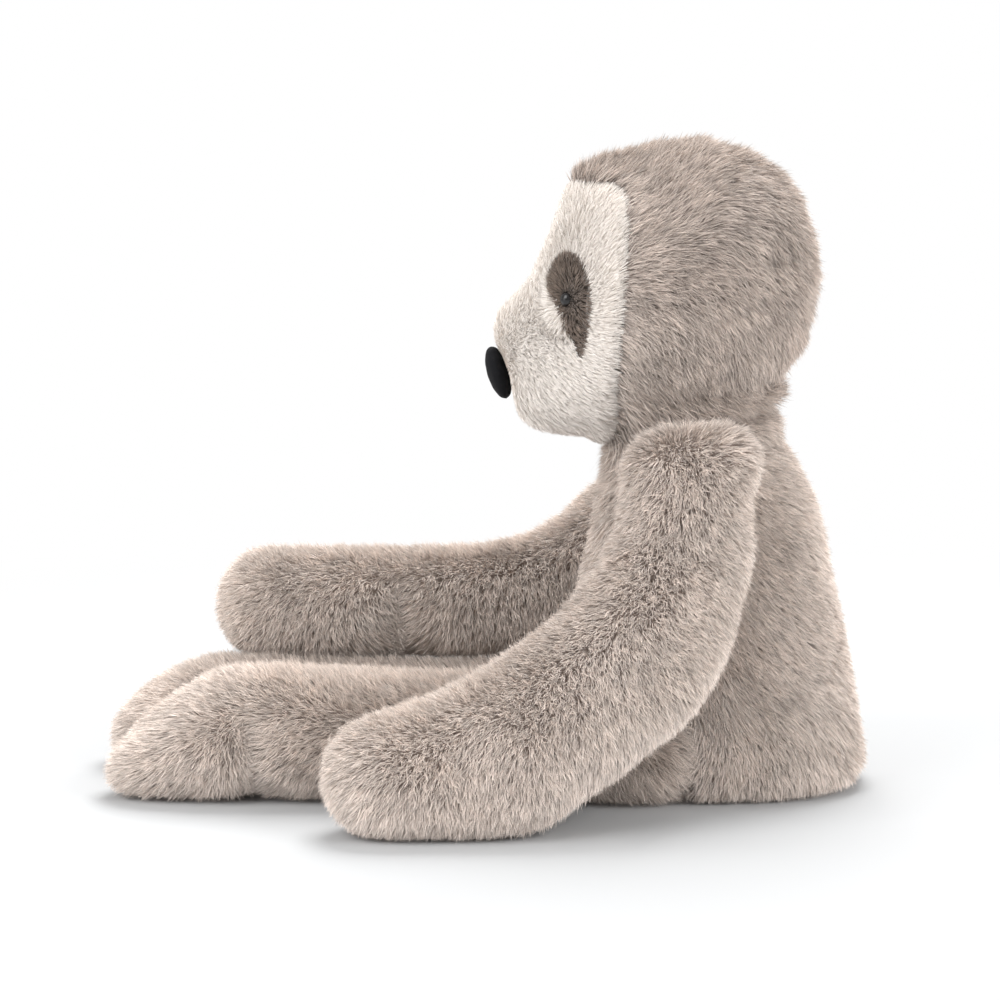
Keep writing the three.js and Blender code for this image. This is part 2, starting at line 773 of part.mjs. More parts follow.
function hoodPieces() {
  const hood = headShell.subtract(faceRoom);
  return [
    ['hood_crown_panel', hood.intersect(crownBlock), furMaterial],
    ['hood_left_panel', hood.intersect(hoodSideBlock(1)), furMaterial],
    ['hood_right_panel', hood.intersect(hoodSideBlock(-1)), furMaterial],
  ];
}

function torsoPieces() {
  return [
    ['torso_front_panel', torsoShell.intersect(frontBlock), furMaterial],
    ['torso_back_panel', torsoShell.intersect(backBlock), furMaterial],
    ['torso_seat_panel', torsoOuter.intersect(seatBlock), furMaterial],
    ['torso_stuffing', torsoFill.intersect(abovePouchBlock), fillMaterial],
    ['bean_pouch', torsoFill.intersect(pouchBlock), pouchMaterial],
    ['neck_seam', neckSeamSolid(), threadMaterial],
  ];
}

const sloth = new THREE.Group();

const everyPiece = [
  ...torsoPieces(),
  ...hoodPieces(),
  ...facePieces(),
  ...armPieces(1, 'left_arm'),
  ...armPieces(-1, 'right_arm'),
  ...legPieces(1, 'left_leg'),
  ...legPieces(-1, 'right_leg'),
];

for (const [name, solid, settings] of everyPiece) {
  const mesh = new THREE.Mesh(toGeometry(solid), new THREE.MeshStandardMaterial(settings));
  mesh.name = name;
  sloth.add(mesh);
}

export default sloth;
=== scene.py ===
"""The looks of a seated plush sloth: smooth stuffed skins, a long taupe pile, a short cream face pile,
dark eye patches, bead eyes and a suede nose. Metres, +Z up, the sloth faces -Y."""

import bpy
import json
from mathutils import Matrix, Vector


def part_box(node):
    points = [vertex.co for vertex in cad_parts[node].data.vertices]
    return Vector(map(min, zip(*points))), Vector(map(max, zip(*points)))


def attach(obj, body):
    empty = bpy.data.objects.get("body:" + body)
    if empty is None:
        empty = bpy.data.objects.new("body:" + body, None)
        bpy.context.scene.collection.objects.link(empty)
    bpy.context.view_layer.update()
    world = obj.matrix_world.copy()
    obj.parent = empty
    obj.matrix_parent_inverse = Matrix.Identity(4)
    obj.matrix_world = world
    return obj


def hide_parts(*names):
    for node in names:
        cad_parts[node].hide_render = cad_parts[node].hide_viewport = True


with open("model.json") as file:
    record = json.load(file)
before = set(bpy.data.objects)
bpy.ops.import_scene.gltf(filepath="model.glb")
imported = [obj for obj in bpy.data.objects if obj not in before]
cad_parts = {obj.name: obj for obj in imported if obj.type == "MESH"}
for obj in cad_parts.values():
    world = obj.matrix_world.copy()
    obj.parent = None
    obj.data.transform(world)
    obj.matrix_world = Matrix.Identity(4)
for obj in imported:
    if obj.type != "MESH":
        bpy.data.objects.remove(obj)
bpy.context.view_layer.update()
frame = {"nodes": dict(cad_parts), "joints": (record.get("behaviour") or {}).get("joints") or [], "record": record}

import json
import math
from collections import namedtuple

import bmesh
import bpy
import numpy as np
from bpy.props import FloatProperty, FloatVectorProperty, IntProperty, PointerProperty
from mathutils import Vector
from mathutils.bvhtree import BVHTree

bl_info = {
    "name": "Plush sloth",
    "version": (1, 0, 0),
    "blender": (4, 5, 0),
    "location": "View3D > Sidebar > Plush Sloth",
    "description": "Dresses the stuffed bodies of a seated plush sloth in fur and builds its face",
    "category": "Object",
}

MM = 0.001
NODES = frame["nodes"]
JOINTS = {joint["name"]: joint for joint in frame["joints"]}
SIDES = {"left": 1.0, "right": -1.0}
LIMB_PANELS = {"arm": ("inner_panel", "outer_panel"), "leg": ("upper_panel", "lower_panel")}
X, Y, Z = 0, 1, 2
DOWN = np.array([0.0, 0.0, -1.0])


# Settings a user would change

class FurSettings(bpy.types.PropertyGroup):
    """Sizes and colours of the long pile on the body and the hood."""

    pile_length: FloatProperty(
        name="Pile length", description="Length of a strand of the long pile",
        default=8.0 * MM, unit="LENGTH")
    face_length: FloatProperty(
        name="Face pile length", description="Length of a strand on the cream face",
        default=5.0 * MM, unit="LENGTH")
    patch_length: FloatProperty(
        name="Patch pile length", description="Length of a strand on an eye patch",
        default=4.5 * MM, unit="LENGTH")
    strand_width: FloatProperty(
        name="Strand width", description="Width of a strand at its middle",
        default=0.31 * MM, unit="LENGTH")
    strands: IntProperty(
        name="Strands", description="Strands in the whole coat", default=880000, min=1000)
    lock_size: FloatProperty(
        name="Lock size", description="Distance between the locks that strands gather into",
        default=1.6 * MM, unit="LENGTH")
    overhang: FloatProperty(
        name="Overhang", description="How far the tips of the fur stand out of the panels of the CAD",
        default=0.9 * MM, unit="LENGTH")
    tip_colour: FloatVectorProperty(
        name="Fur tips", description="Colour of the taupe fur at its tips", subtype="COLOR",
        default=(0.79, 0.70, 0.637))
    root_colour: FloatVectorProperty(
        name="Fur roots", description="Colour of the taupe fur at its roots", subtype="COLOR",
        default=(0.33, 0.268, 0.23))
    cream_colour: FloatVectorProperty(
        name="Face fur", description="Colour of the face fur at its tips", subtype="COLOR",
        default=(0.85, 0.803, 0.76))
    patch_colour: FloatVectorProperty(
        name="Patch fur", description="Colour of the eye patches at their tips", subtype="COLOR",
        default=(0.215, 0.163, 0.13))
    seed: IntProperty(name="Seed", description="Seed of every random choice in the fur", default=7)


class FaceSettings(bpy.types.PropertyGroup):
    """Sizes and colours of the eyes and the nose."""

    bead_radius: FloatProperty(
        name="Bead radius", description="Radius of an eye's bead", default=3.2 * MM, unit="LENGTH")
    eye_colour: FloatVectorProperty(
        name="Eye", description="Colour of the glossy bead", subtype="COLOR",
        default=(0.004, 0.003, 0.003))
    nose_colour: FloatVectorProperty(
        name="Nose", description="Colour of the suede nose", subtype="COLOR",
        default=(0.006, 0.006, 0.007))


class StageSettings(bpy.types.PropertyGroup):
    """Where the camera stands and where it looks."""

    camera_distance: FloatProperty(
        name="Camera distance", description="From the camera to the middle of the sloth",
        default=0.95, unit="LENGTH")
    camera_rise: FloatProperty(
        name="Camera rise", description="Angle of the camera above the horizon",
        default=math.radians(6), subtype="ANGLE")
    camera_lens: FloatProperty(
        name="Focal length", description="Focal length on a 36 mm sensor", default=90.0)
    aim_y: FloatProperty(
        name="Aim forward", description="Place along Y that the camera looks at",
        default=-82 * MM, unit="LENGTH")
    aim_z: FloatProperty(
        name="Aim height", description="Height that the camera looks at",
        default=107.5 * MM, unit="LENGTH")


# Meshes as arrays

def points_of(mesh):
    found = np.zeros(len(mesh.vertices) * 3)
    mesh.vertices.foreach_get("co", found)
    return found.reshape(-1, 3)


def normals_of(mesh):
    found = np.zeros(len(mesh.vertices) * 3)
    mesh.vertex_normals.foreach_get("vector", found)
    return found.reshape(-1, 3)


def unit(vectors):
    return vectors / np.maximum(np.linalg.norm(vectors, axis=-1, keepdims=True), 1e-12)


def flattened(vectors, normals):
    """Each vector turned down into the surface, as long as it was."""
    along = np.sum(vectors * normals, axis=1, keepdims=True)
    return unit(vectors - along * normals) * np.linalg.norm(vectors, axis=1, keepdims=True)


def ramp(values, low, high):
    """0 up to low, 1 from high on, and a straight rise between them."""
    return np.clip((values - low) / (high - low), 0, 1)


def past(points, axis, low, high):
    """0 up to one place along an axis, 1 from another on, with both places in millimetres."""
    return ramp(points[:, axis], low * MM, high * MM)


def evened(mesh, values, rounds):
    """Values of the points of a mesh, averaged with their neighbours over and over."""
    edges = np.zeros(len(mesh.edges) * 2, dtype=np.int64)
    mesh.edges.foreach_get("vertices", edges)
    one, other = edges.reshape(-1, 2).T
    count = np.bincount(one, minlength=len(values)) + np.bincount(other, minlength=len(values))
    for _ in range(rounds):
        total = np.bincount(one, values[other], len(values)) + np.bincount(other, values[one], len(values))
        values = (values + total) / (1 + count)
    return values


def new_object(name, mesh):
    piece = bpy.data.objects.new(name, mesh)
    bpy.context.scene.collection.objects.link(piece)
    return piece


def smooth_faces(mesh):
    mesh.polygons.foreach_set("use_smooth", np.ones(len(mesh.polygons), dtype=bool))
    mesh.update()


def finished_mesh(piece, name):
    """The evaluated mesh of a piece, with its modifiers worked in."""
    graph = bpy.context.evaluated_depsgraph_get()
    mesh = bpy.data.meshes.new_from_object(piece.evaluated_get(graph), depsgraph=graph)
    mesh.name = name
    return mesh


def triangles_of(nodes):
    """The points and faces of several CAD nodes, joined into one list each."""
    points, faces = [], []
    for node in nodes:
        mesh = NODES[node].data
        start = len(points)
        points.extend(vertex.co.copy() for vertex in mesh.vertices)
        faces.extend([start + index for index in polygon.vertices] for polygon in mesh.polygons)
    return points, faces


def surface_of(nodes):
    """A search tree over the triangles of several CAD nodes."""
    return BVHTree.FromPolygons(*triangles_of(nodes))


def attribute(mesh, name, kind, domain, values):
    """Writes one value for each point or face under a name."""
    layer = mesh.attributes.get(name) or mesh.attributes.new(name, kind, domain)
    field = "vector" if kind == "FLOAT_VECTOR" else "value"
    layer.data.foreach_set(field, np.asarray(values, dtype=np.float32).ravel())


# The stuffed skins under the fur

RAY = Vector((0.31, 0.17, 0.93)).normalized()
RAY_STEP = 1e-6


def inside(place, tree):
    """True if a ray from the place crosses the solids an odd number of times."""
    crossings = 0
    hit = tree.ray_cast(place, RAY)[0]
    while hit is not None:
        crossings += 1
        hit = tree.ray_cast(hit + RAY * RAY_STEP, RAY)[0]
    return crossings % 2 == 1


def signed_distances(points, tree):
    """How far each point lies outside the solids of a search tree, and below zero inside them."""
    found = np.zeros(len(points))
    for index, point in enumerate(points):
        place = Vector(point)
        near, facing, _, distance = tree.find_nearest(place)
        behind = (place - near).dot(facing) < 0 and inside(place, tree)
        found[index] = -distance if behind else distance
    return found


def closed_skin(name, nodes, voxel, rounds):
    """One smooth closed skin round several CAD solids, as large as they are."""
    points, faces = triangles_of(nodes)
    mesh = bpy.data.meshes.new(name)
    mesh.from_pydata(points, [], faces)
    piece = new_object(name, mesh)
    remesh = piece.modifiers.new("Remesh", "REMESH")
    remesh.mode = "VOXEL"
    remesh.voxel_size = voxel
    relax = piece.modifiers.new("Relax", "SMOOTH")
    relax.factor = 0.5
    relax.iterations = rounds
    piece.data = finished_mesh(piece, name)
    piece.modifiers.clear()
    smooth_faces(piece.data)
    shrunk = signed_distances(points_of(piece.data), surface_of(nodes))
    drawn_in(piece, evened(piece.data, shrunk, rounds))
    return piece


def drawn_in(piece, depth):
    """Moves every point of a skin inward by its own depth."""
    mesh = piece.data
    moved = points_of(mesh) - normals_of(mesh) * np.asarray(depth).reshape(-1, 1)
    mesh.vertices.foreach_set("co", moved.ravel())
    mesh.update()


def panel_leads(points, panels):
    """For each point and panel, how much nearer that panel lies than any other one."""
    away = np.array([np.abs(signed_distances(points, surface_of([panel]))) for panel in panels])
    leads = []
    for index in range(len(panels)):
        others = np.delete(away, index, axis=0)
        leads.append(others.min(axis=0) - away[index])
    return np.array(leads)


# Fur

class Tree:
    """A short way to write a node tree: each call adds one node and returns its first output."""

    def __init__(self, tree):
        self.tree = tree

    def add(self, kind, *values, **settings):
        node = self.tree.nodes.new(kind)
        for key, value in settings.items():
            setattr(node, key, value)
        for socket, value in zip([s for s in node.inputs if s.enabled], values):
            self.give(socket, value)
        return node

    def give(self, socket, value):
        if value is None:
            return
        if isinstance(value, bpy.types.NodeSocket):
            self.tree.links.new(value, socket)
        else:
            socket.default_value = value

    def math(self, operation, *values):
        return self.add("ShaderNodeMath", *values, operation=operation).outputs[0]

    def vector(self, operation, *values):
        node = self.add("ShaderNodeVectorMath", *values, operation=operation)
        return node.outputs["Value" if operation in ("DOT_PRODUCT", "LENGTH") else "Vector"]

    def scaled(self, vector, factor):
        node = self.add("ShaderNodeVectorMath", operation="SCALE")
        self.give(node.inputs["Vector"], vector)
        self.give(node.inputs["Scale"], factor)
        return node.outputs["Vector"]

    def total(self, *vectors):
        result = vectors[0]
        for other in vectors[1:]:
            result = self.vector("ADD", result, other)
        return result

    def in_surface(self, vector, normal):
        """The part of a vector that lies square to a normal."""
        along = self.vector("DOT_PRODUCT", vector, normal)
        return self.vector("SUBTRACT", vector, self.scaled(normal, along))

    def named(self, name, kind):
        node = self.add("GeometryNodeInputNamedAttribute", data_type=kind)
        node.inputs["Name"].default_value = name
        return node.outputs["Attribute"]

    def stored(self, geometry, name, kind, domain, value):
        node = self.add("GeometryNodeStoreNamedAttribute", data_type=kind, domain=domain)
        self.give(node.inputs["Geometry"], geometry)
        node.inputs["Name"].default_value = name
        self.give(node.inputs["Value"], value)
        return node.outputs["Geometry"]

    def random(self, low, high, seed):
        kind = "FLOAT_VECTOR" if isinstance(low, tuple) else "FLOAT"
        node = self.add("FunctionNodeRandomValue", data_type=kind)
        sockets = {s.name: s for s in node.inputs if s.enabled}
        sockets["Min"].default_value = low
        sockets["Max"].default_value = high
        self.give(sockets["Seed"], seed)
        return next(s for s in node.outputs if s.enabled)


FUR_INPUTS = {
    "Density": ("NodeSocketFloat", 1.0e6),
    "Length": ("NodeSocketFloat", 8.0 * MM),
    "Width": ("NodeSocketFloat", 0.36 * MM),
    "Lean": ("NodeSocketFloat", 0.8),
    "Lock size": ("NodeSocketFloat", 2.0 * MM),
    "Lock pull": ("NodeSocketFloat", 0.5),
    "Lock turn": ("NodeSocketFloat", 0.55),
    "Strand turn": ("NodeSocketFloat", 0.4),
    "Swirl": ("NodeSocketFloat", 1.0),
    "Floor": ("NodeSocketFloat", -1.0),
    "Seed": ("NodeSocketInt", 1),
    "Material": ("NodeSocketMaterial", None),
}
SWIRL_SIZE = 30 * MM
KITE_CORNERS = 4
TIP_CORNER = 2
COVER_MARGIN = 1.5 * MM

# How strands differ: in length each by itself and lock by lock, how far they bend and twist, how much of
# their tone they share in a lock, and how much of its cell on the OFBake map each one fills
LENGTH_SPREAD = (0.82, 1.08)
LOCK_LENGTH_SPREAD = 0.16
BEND_SHARE = 0.3
TWIST = 0.7
LOCK_TONE_SHARE = 0.45
CELL_SHARE = 0.8


def fur_tree():
    """Strands on a skin: each is a narrow kite that leaves its root and bends with the comb."""
    tree = bpy.data.node_groups.new("Fur strands", "GeometryNodeTree")
    face = tree.interface
    face.new_socket(name="Geometry", in_out="INPUT", socket_type="NodeSocketGeometry")
    for name, (kind, default) in FUR_INPUTS.items():
        socket = face.new_socket(name=name, in_out="INPUT", socket_type=kind)
        if default is not None:
            socket.default_value = default
    face.new_socket(name="Geometry", in_out="OUTPUT", socket_type="NodeSocketGeometry")
    t = Tree(tree)
    given = tree.nodes.new("NodeGroupInput").outputs
    seed = given["Seed"]

    # Roots: scattered a little past the edge of the panel, then cut back to it
    cover = t.named("cover", "FLOAT")
    density = t.math("MULTIPLY", given["Density"], t.math("GREATER_THAN", cover, -COVER_MARGIN))
    scatter = t.add("GeometryNodeDistributePointsOnFaces", distribute_method="RANDOM")
    t.give(scatter.inputs["Mesh"], given["Geometry"])
    t.give(scatter.inputs["Density"], density)
    t.give(scatter.inputs["Seed"], seed)
    points = t.stored(scatter.outputs["Points"], "up", "FLOAT_VECTOR", "POINT", scatter.outputs["Normal"])
    cut = t.add("GeometryNodeDeleteGeometry", domain="POINT")
    t.give(cut.inputs["Geometry"], points)
    t.give(cut.inputs["Selection"], t.math("LESS_THAN", cover, 0.0))
    points = cut.outputs[0]
    up = t.vector("NORMALIZE", t.named("up", "FLOAT_VECTOR"))
    place = t.add("GeometryNodeInputPosition").outputs[0]

    # Locks: strands near one centre share a lean and are drawn together at their tips
    locks = t.add("ShaderNodeTexVoronoi", voronoi_dimensions="3D", feature="F1")
    t.give(locks.inputs["Vector"], place)
    t.give(locks.inputs["Scale"], t.math("DIVIDE", 1.0, given["Lock size"]))
    to_lock = t.in_surface(t.vector("SUBTRACT", locks.outputs["Position"], place), up)
    lock_lean = t.vector("SUBTRACT", locks.outputs["Color"], (0.5, 0.5, 0.5))
    swirl_noise = t.add("ShaderNodeTexNoise", noise_dimensions="3D")
    t.give(swirl_noise.inputs["Vector"], place)
    swirl_noise.inputs["Scale"].default_value = 1 / SWIRL_SIZE
    swirl_noise.inputs["Detail"].default_value = 1.0
    swirl = t.vector("SUBTRACT", swirl_noise.outputs["Color"], (0.5, 0.5, 0.5))
    stray = t.random((-1.0, -1.0, -1.0), (1.0, 1.0, 1.0), seed)
    flow = t.total(
        t.named("comb", "FLOAT_VECTOR"),
        t.scaled(swirl, given["Swirl"]),
        t.scaled(lock_lean, given["Lock turn"]),
        t.scaled(stray, given["Strand turn"]),
    )
    flow = t.in_surface(flow, up)

    # One strand's bend and tip
    spread = t.random(*LENGTH_SPREAD, t.math("ADD", seed, 1))
    lock_grey = t.add("ShaderNodeSeparateXYZ", locks.outputs["Color"]).outputs[0]
    lock_length = t.math("MULTIPLY_ADD", lock_grey, LOCK_LENGTH_SPREAD, 1 - LOCK_LENGTH_SPREAD / 2)
    length = t.math("MULTIPLY", given["Length"], t.named("pile", "FLOAT"))
    length = t.math("MULTIPLY", t.math("MULTIPLY", length, spread), lock_length)
    heading = t.vector("NORMALIZE", t.vector("ADD", up, t.scaled(flow, given["Lean"])))
    tip = t.vector("ADD", t.scaled(heading, length), t.scaled(to_lock, given["Lock pull"]))
    upright = t.scaled(up, t.math("MULTIPLY", length, BEND_SHARE))
    bend = t.vector("ADD", t.scaled(tip, BEND_SHARE), upright)
    twist = t.random((-TWIST,) * 3, (TWIST,) * 3, t.math("ADD", seed, 2))
    across = t.vector("NORMALIZE", t.vector("CROSS_PRODUCT", tip, t.vector("ADD", up, twist)))
    side = t.scaled(across, t.math("MULTIPLY", given["Width"], 0.5))
    points = t.stored(points, "tip", "FLOAT_VECTOR", "POINT", tip)
    points = t.stored(points, "bend", "FLOAT_VECTOR", "POINT", bend)
    points = t.stored(points, "side", "FLOAT_VECTOR", "POINT", side)
    lock_tone = t.add("ShaderNodeSeparateXYZ", locks.outputs["Color"]).outputs[1]
    own_tone = t.random(0.0, 1 - LOCK_TONE_SHARE, t.math("ADD", seed, 3))
    tone = t.math("MULTIPLY_ADD", lock_tone, LOCK_TONE_SHARE, own_tone)
    points = t.stored(points, "tone", "FLOAT", "POINT", tone)
    points = t.stored(points, "strand", "INT", "POINT", t.add("GeometryNodeInputIndex").outputs[0])

    # One kite for each point, with its corners numbered from the root round by the tip
    kite = t.add("GeometryNodeMeshCircle", KITE_CORNERS, 0.0, fill_type="NGON").outputs[0]
    kite = t.stored(kite, "corner", "INT", "POINT", t.add("GeometryNodeInputIndex").outputs[0])
    copies = t.add("GeometryNodeInstanceOnPoints")
    t.give(copies.inputs["Points"], points)
    t.give(copies.inputs["Instance"], kite)
    strands = t.add("GeometryNodeRealizeInstances", copies.outputs[0]).outputs[0]
    from_tip = t.math("SUBTRACT", t.named("corner", "INT"), float(TIP_CORNER))
    along = t.math("SUBTRACT", 1.0, t.math("DIVIDE", t.math("ABSOLUTE", from_tip), float(TIP_CORNER)))
    at_side = t.math("MODULO", t.math("ABSOLUTE", from_tip), 2.0)
    half = t.math("MULTIPLY", at_side, from_tip)
    squared = t.math("MULTIPLY", along, along)
    middle = t.math("MULTIPLY", t.math("MULTIPLY", along, t.math("SUBTRACT", 1.0, along)), 2.0)
    shift = t.total(
        t.scaled(t.named("bend", "FLOAT_VECTOR"), middle),
        t.scaled(t.named("tip", "FLOAT_VECTOR"), squared),
        t.scaled(t.named("side", "FLOAT_VECTOR"), half),
    )
    parts = t.add("ShaderNodeSeparateXYZ", t.vector("ADD", place, shift)).outputs
    height = t.math("MAXIMUM", parts[2], given["Floor"])
    where = t.add("ShaderNodeCombineXYZ", parts[0], parts[1], height).outputs[0]
    moved = t.add("GeometryNodeSetPosition")
    t.give(moved.inputs["Geometry"], strands)
    t.give(moved.inputs["Position"], where)

    # Each strand keeps a cell of its own on the OFBake map
    strands = t.stored(moved.outputs[0], "along", "FLOAT", "POINT", along)
    count = t.add("GeometryNodeAttributeDomainSize", component="POINTCLOUD")
    t.give(count.inputs["Geometry"], points)
    cells = t.math("CEIL", t.math("SQRT", count.outputs["Point Count"]))
    strand = t.named("strand", "INT")
    column = t.math("MODULO", strand, cells)
    row = t.math("FLOOR", t.math("DIVIDE", t.math("ADD", strand, 0.5), cells))
    in_cell_u = t.math("MULTIPLY_ADD", half, CELL_SHARE / 2, 0.5)
    in_cell_v = t.math("MULTIPLY_ADD", along, CELL_SHARE, (1 - CELL_SHARE) / 2)
    u = t.math("DIVIDE", t.math("ADD", column, in_cell_u), cells)
    v = t.math("DIVIDE", t.math("ADD", row, in_cell_v), cells)
    cell_place = t.add("ShaderNodeCombineXYZ", u, v).outputs[0]
    strands = t.stored(strands, "OFBake", "FLOAT2", "CORNER", cell_place)
    for name in ("up", "tip", "bend", "side", "strand", "corner", "comb", "pile", "cover"):
        gone = t.add("GeometryNodeRemoveAttribute")
        t.give(gone.inputs["Geometry"], strands)
        gone.inputs["Name"].default_value = name
        strands = gone.outputs[0]
    dyed = t.add("GeometryNodeSetMaterial")
    t.give(dyed.inputs["Geometry"], strands)
    t.give(dyed.inputs["Material"], given["Material"])
    t.give(tree.nodes.new("NodeGroupOutput").inputs[0], dyed.outputs[0])
    return tree


def grown_fur(name, skin, cover, settings):
    """Grows strands where cover is above zero and returns them as one plain mesh object."""
    tree = bpy.data.node_groups.get("Fur strands") or fur_tree()
    attribute(skin.data, "cover", "FLOAT", "POINT", cover)
    grower = skin.modifiers.new("Fur", "NODES")
    grower.node_group = tree
    for item in tree.interface.items_tree:
        if item.item_type == "SOCKET" and item.in_out == "INPUT" and item.name in settings:
            grower[item.identifier] = settings[item.name]
    mesh = finished_mesh(skin, name)
    skin.modifiers.remove(grower)
    smooth_faces(mesh)
    return new_object(name, mesh)


COATED_AREA = 0.19


def coat_density():
    """Strands for each square metre, so that the whole coat has about the wished number."""
    wished = bpy.context.scene.sloth_fur.strands * 1.0
    return wished / COATED_AREA


# Materials

def material(name, roughness):
    made = bpy.data.materials.new(name)
    made.use_nodes = True
    shader = made.node_tree.nodes["Principled BSDF"]
    shader.inputs["Roughness"].default_value = roughness
    return made, Tree(made.node_tree), shader


def pile_group():
    """Shade of a strand: darker toward its root, with its own tone and soft patches over the coat."""
    group = bpy.data.node_groups.get("Pile shade")
    if group:
        return group
    group = bpy.data.node_groups.new("Pile shade", "ShaderNodeTree")
    for name in ("Tip", "Root"):
        group.interface.new_socket(name=name, in_out="INPUT", socket_type="NodeSocketColor")
    for name in ("Tone spread", "Patch size", "Patch spread"):
        group.interface.new_socket(name=name, in_out="INPUT", socket_type="NodeSocketFloat")
    group.interface.new_socket(name="Color", in_out="OUTPUT", socket_type="NodeSocketColor")
    t = Tree(group)
    given = group.nodes.new("NodeGroupInput").outputs
    along = t.add("ShaderNodeAttribute", attribute_name="along").outputs["Fac"]
    tone = t.add("ShaderNodeAttribute", attribute_name="tone").outputs["Fac"]
    curve = t.math("POWER", along, 0.8)
    mixed = t.add("ShaderNodeMix", data_type="RGBA")
    t.give(mixed.inputs[0], curve)
    t.give(mixed.inputs[6], given["Root"])
    t.give(mixed.inputs[7], given["Tip"])
    noise = t.add("ShaderNodeTexNoise")
    t.give(noise.inputs["Vector"], t.add("ShaderNodeTexCoord").outputs["Object"])
    t.give(noise.inputs["Scale"], t.math("DIVIDE", 1.0, given["Patch size"]))
    patch = t.math("MULTIPLY", t.math("SUBTRACT", noise.outputs["Fac"], 0.5), given["Patch spread"])
    own = t.math("MULTIPLY", t.math("SUBTRACT", tone, 0.5), given["Tone spread"])
    gain = t.math("ADD", 1.0, t.math("ADD", patch, own))
    toned = t.scaled(mixed.outputs[2], gain)
    t.give(group.nodes.new("NodeGroupOutput").inputs[0], toned)
    return group


def fur_material(name, tip, root, tone_spread=0.8, patch_spread=0.3):
    made, t, shader = material(name, 0.78)
    shade = t.add("ShaderNodeGroup", node_tree=pile_group())
    shade.inputs["Tip"].default_value = (*tip, 1)
    shade.inputs["Root"].default_value = (*root, 1)
    shade.inputs["Tone spread"].default_value = tone_spread
    shade.inputs["Patch size"].default_value = 22 * MM
    shade.inputs["Patch spread"].default_value = patch_spread
    t.give(shader.inputs["Base Color"], shade.outputs[0])
    shader.inputs["Specular IOR Level"].default_value = 0.25
    shader.inputs["Sheen Weight"].default_value = 0.15
    return made


def grain_group():
    """The uneven grain of cloth, flock or plastic: its height from 0 to 1 and the normal it gives."""
    group = bpy.data.node_groups.get("Grain")
    if group:
        return group
    group = bpy.data.node_groups.new("Grain", "ShaderNodeTree")
    for name in ("Size", "Detail", "Strength", "Depth"):
        group.interface.new_socket(name=name, in_out="INPUT", socket_type="NodeSocketFloat")
    group.interface.new_socket(name="Height", in_out="OUTPUT", socket_type="NodeSocketFloat")
    group.interface.new_socket(name="Normal", in_out="OUTPUT", socket_type="NodeSocketVector")
    t = Tree(group)
    given = group.nodes.new("NodeGroupInput").outputs
    noise = t.add("ShaderNodeTexNoise")
    t.give(noise.inputs["Vector"], t.add("ShaderNodeTexCoord").outputs["Object"])
    t.give(noise.inputs["Scale"], t.math("DIVIDE", 1.0, given["Size"]))
    t.give(noise.inputs["Detail"], given["Detail"])
    bump = t.add("ShaderNodeBump")
    t.give(bump.inputs["Strength"], given["Strength"])
    t.give(bump.inputs["Distance"], given["Depth"])
    t.give(bump.inputs["Height"], noise.outputs["Fac"])
    result = group.nodes.new("NodeGroupOutput").inputs
    t.give(result["Height"], noise.outputs["Fac"])
    t.give(result["Normal"], bump.outputs[0])
    return group


def grained(t, size, detail=2.0, strength=0.0, depth=0.0):
    """Places the grain in a material with its own values, and returns its height and its normal."""
    grain = t.add("ShaderNodeGroup", node_tree=grain_group())
    for name, value in (("Size", size), ("Detail", detail), ("Strength", strength), ("Depth", depth)):
        grain.inputs[name].default_value = value
    return grain.outputs["Height"], grain.outputs["Normal"]


def skin_material(name, colour, dimmed=0.6):
    """Backing cloth with the short dark underfur that shows between the strands."""
    made, t, shader = material(name, 0.95)
    height, normal = grained(t, 1.2 * MM, detail=3.0, strength=0.6, depth=0.4 * MM)
    dim = t.add("ShaderNodeMix", data_type="RGBA")
    t.give(dim.inputs[0], height)
    dim.inputs[6].default_value = (*[channel * dimmed for channel in colour], 1)
    dim.inputs[7].default_value = (*colour, 1)
    t.give(shader.inputs["Base Color"], dim.outputs[2])
    t.give(shader.inputs["Normal"], normal)
    return made


def eye_material(colour):
    """Glossy moulded bead with the faintest unevenness in its polish."""
    made, t, shader = material("Bead eye", 0.12)
    height, _ = grained(t, 0.9 * MM)
    t.give(shader.inputs["Roughness"], t.math("MULTIPLY_ADD", height, 0.08, 0.08))
    shader.inputs["Base Color"].default_value = (*colour, 1)
    shader.inputs["Specular IOR Level"].default_value = 0.35
    return made


def suede_material(colour):
    """Matt black flocked cloth."""
    made, t, shader = material("Nose suede", 0.9)
    height, normal = grained(t, 0.35 * MM, detail=4.0, strength=0.5, depth=0.15 * MM)
    lift = t.math("MULTIPLY_ADD", height, 1.6, 0.2)
    t.give(shader.inputs["Base Color"], t.scaled(tuple(colour), lift))
    t.give(shader.inputs["Normal"], normal)
    shader.inputs["Specular IOR Level"].default_value = 0.12
    return made


def plain_material(name, colour, roughness, grain_size):
    """Moulded or woven stuff of one colour with a fine mottle at the scale of its grain."""
    made, t, shader = material(name, roughness)
    height, _ = grained(t, grain_size)
    mottle = t.math("MULTIPLY_ADD", height, 0.3, 0.85)
    t.give(shader.inputs["Base Color"], t.scaled(tuple(colour), mottle))
    return made


# Dressing one body

SKIN_VOXEL = 1.8 * MM
SKIN_ROUNDS = 20
LIMB_ROUNDS = 45
SUNK_ROUNDS = 4
NEAR_OTHER = 12 * MM
NEAR_DEPTH_SHARE = 0.35
BURIED_BY = 1.0 * MM
FLOOR_GAP = 0.25 * MM
SEED_STEP = 10
TIP_SHARE = 0.95
FINE_COAT = {"Width": 0.27 * MM, "Lock pull": 0.2, "Lock turn": 0.25, "Strand turn": 0.25, "Swirl": 0.5}
FINE_COAT_DENSITY = 1.35

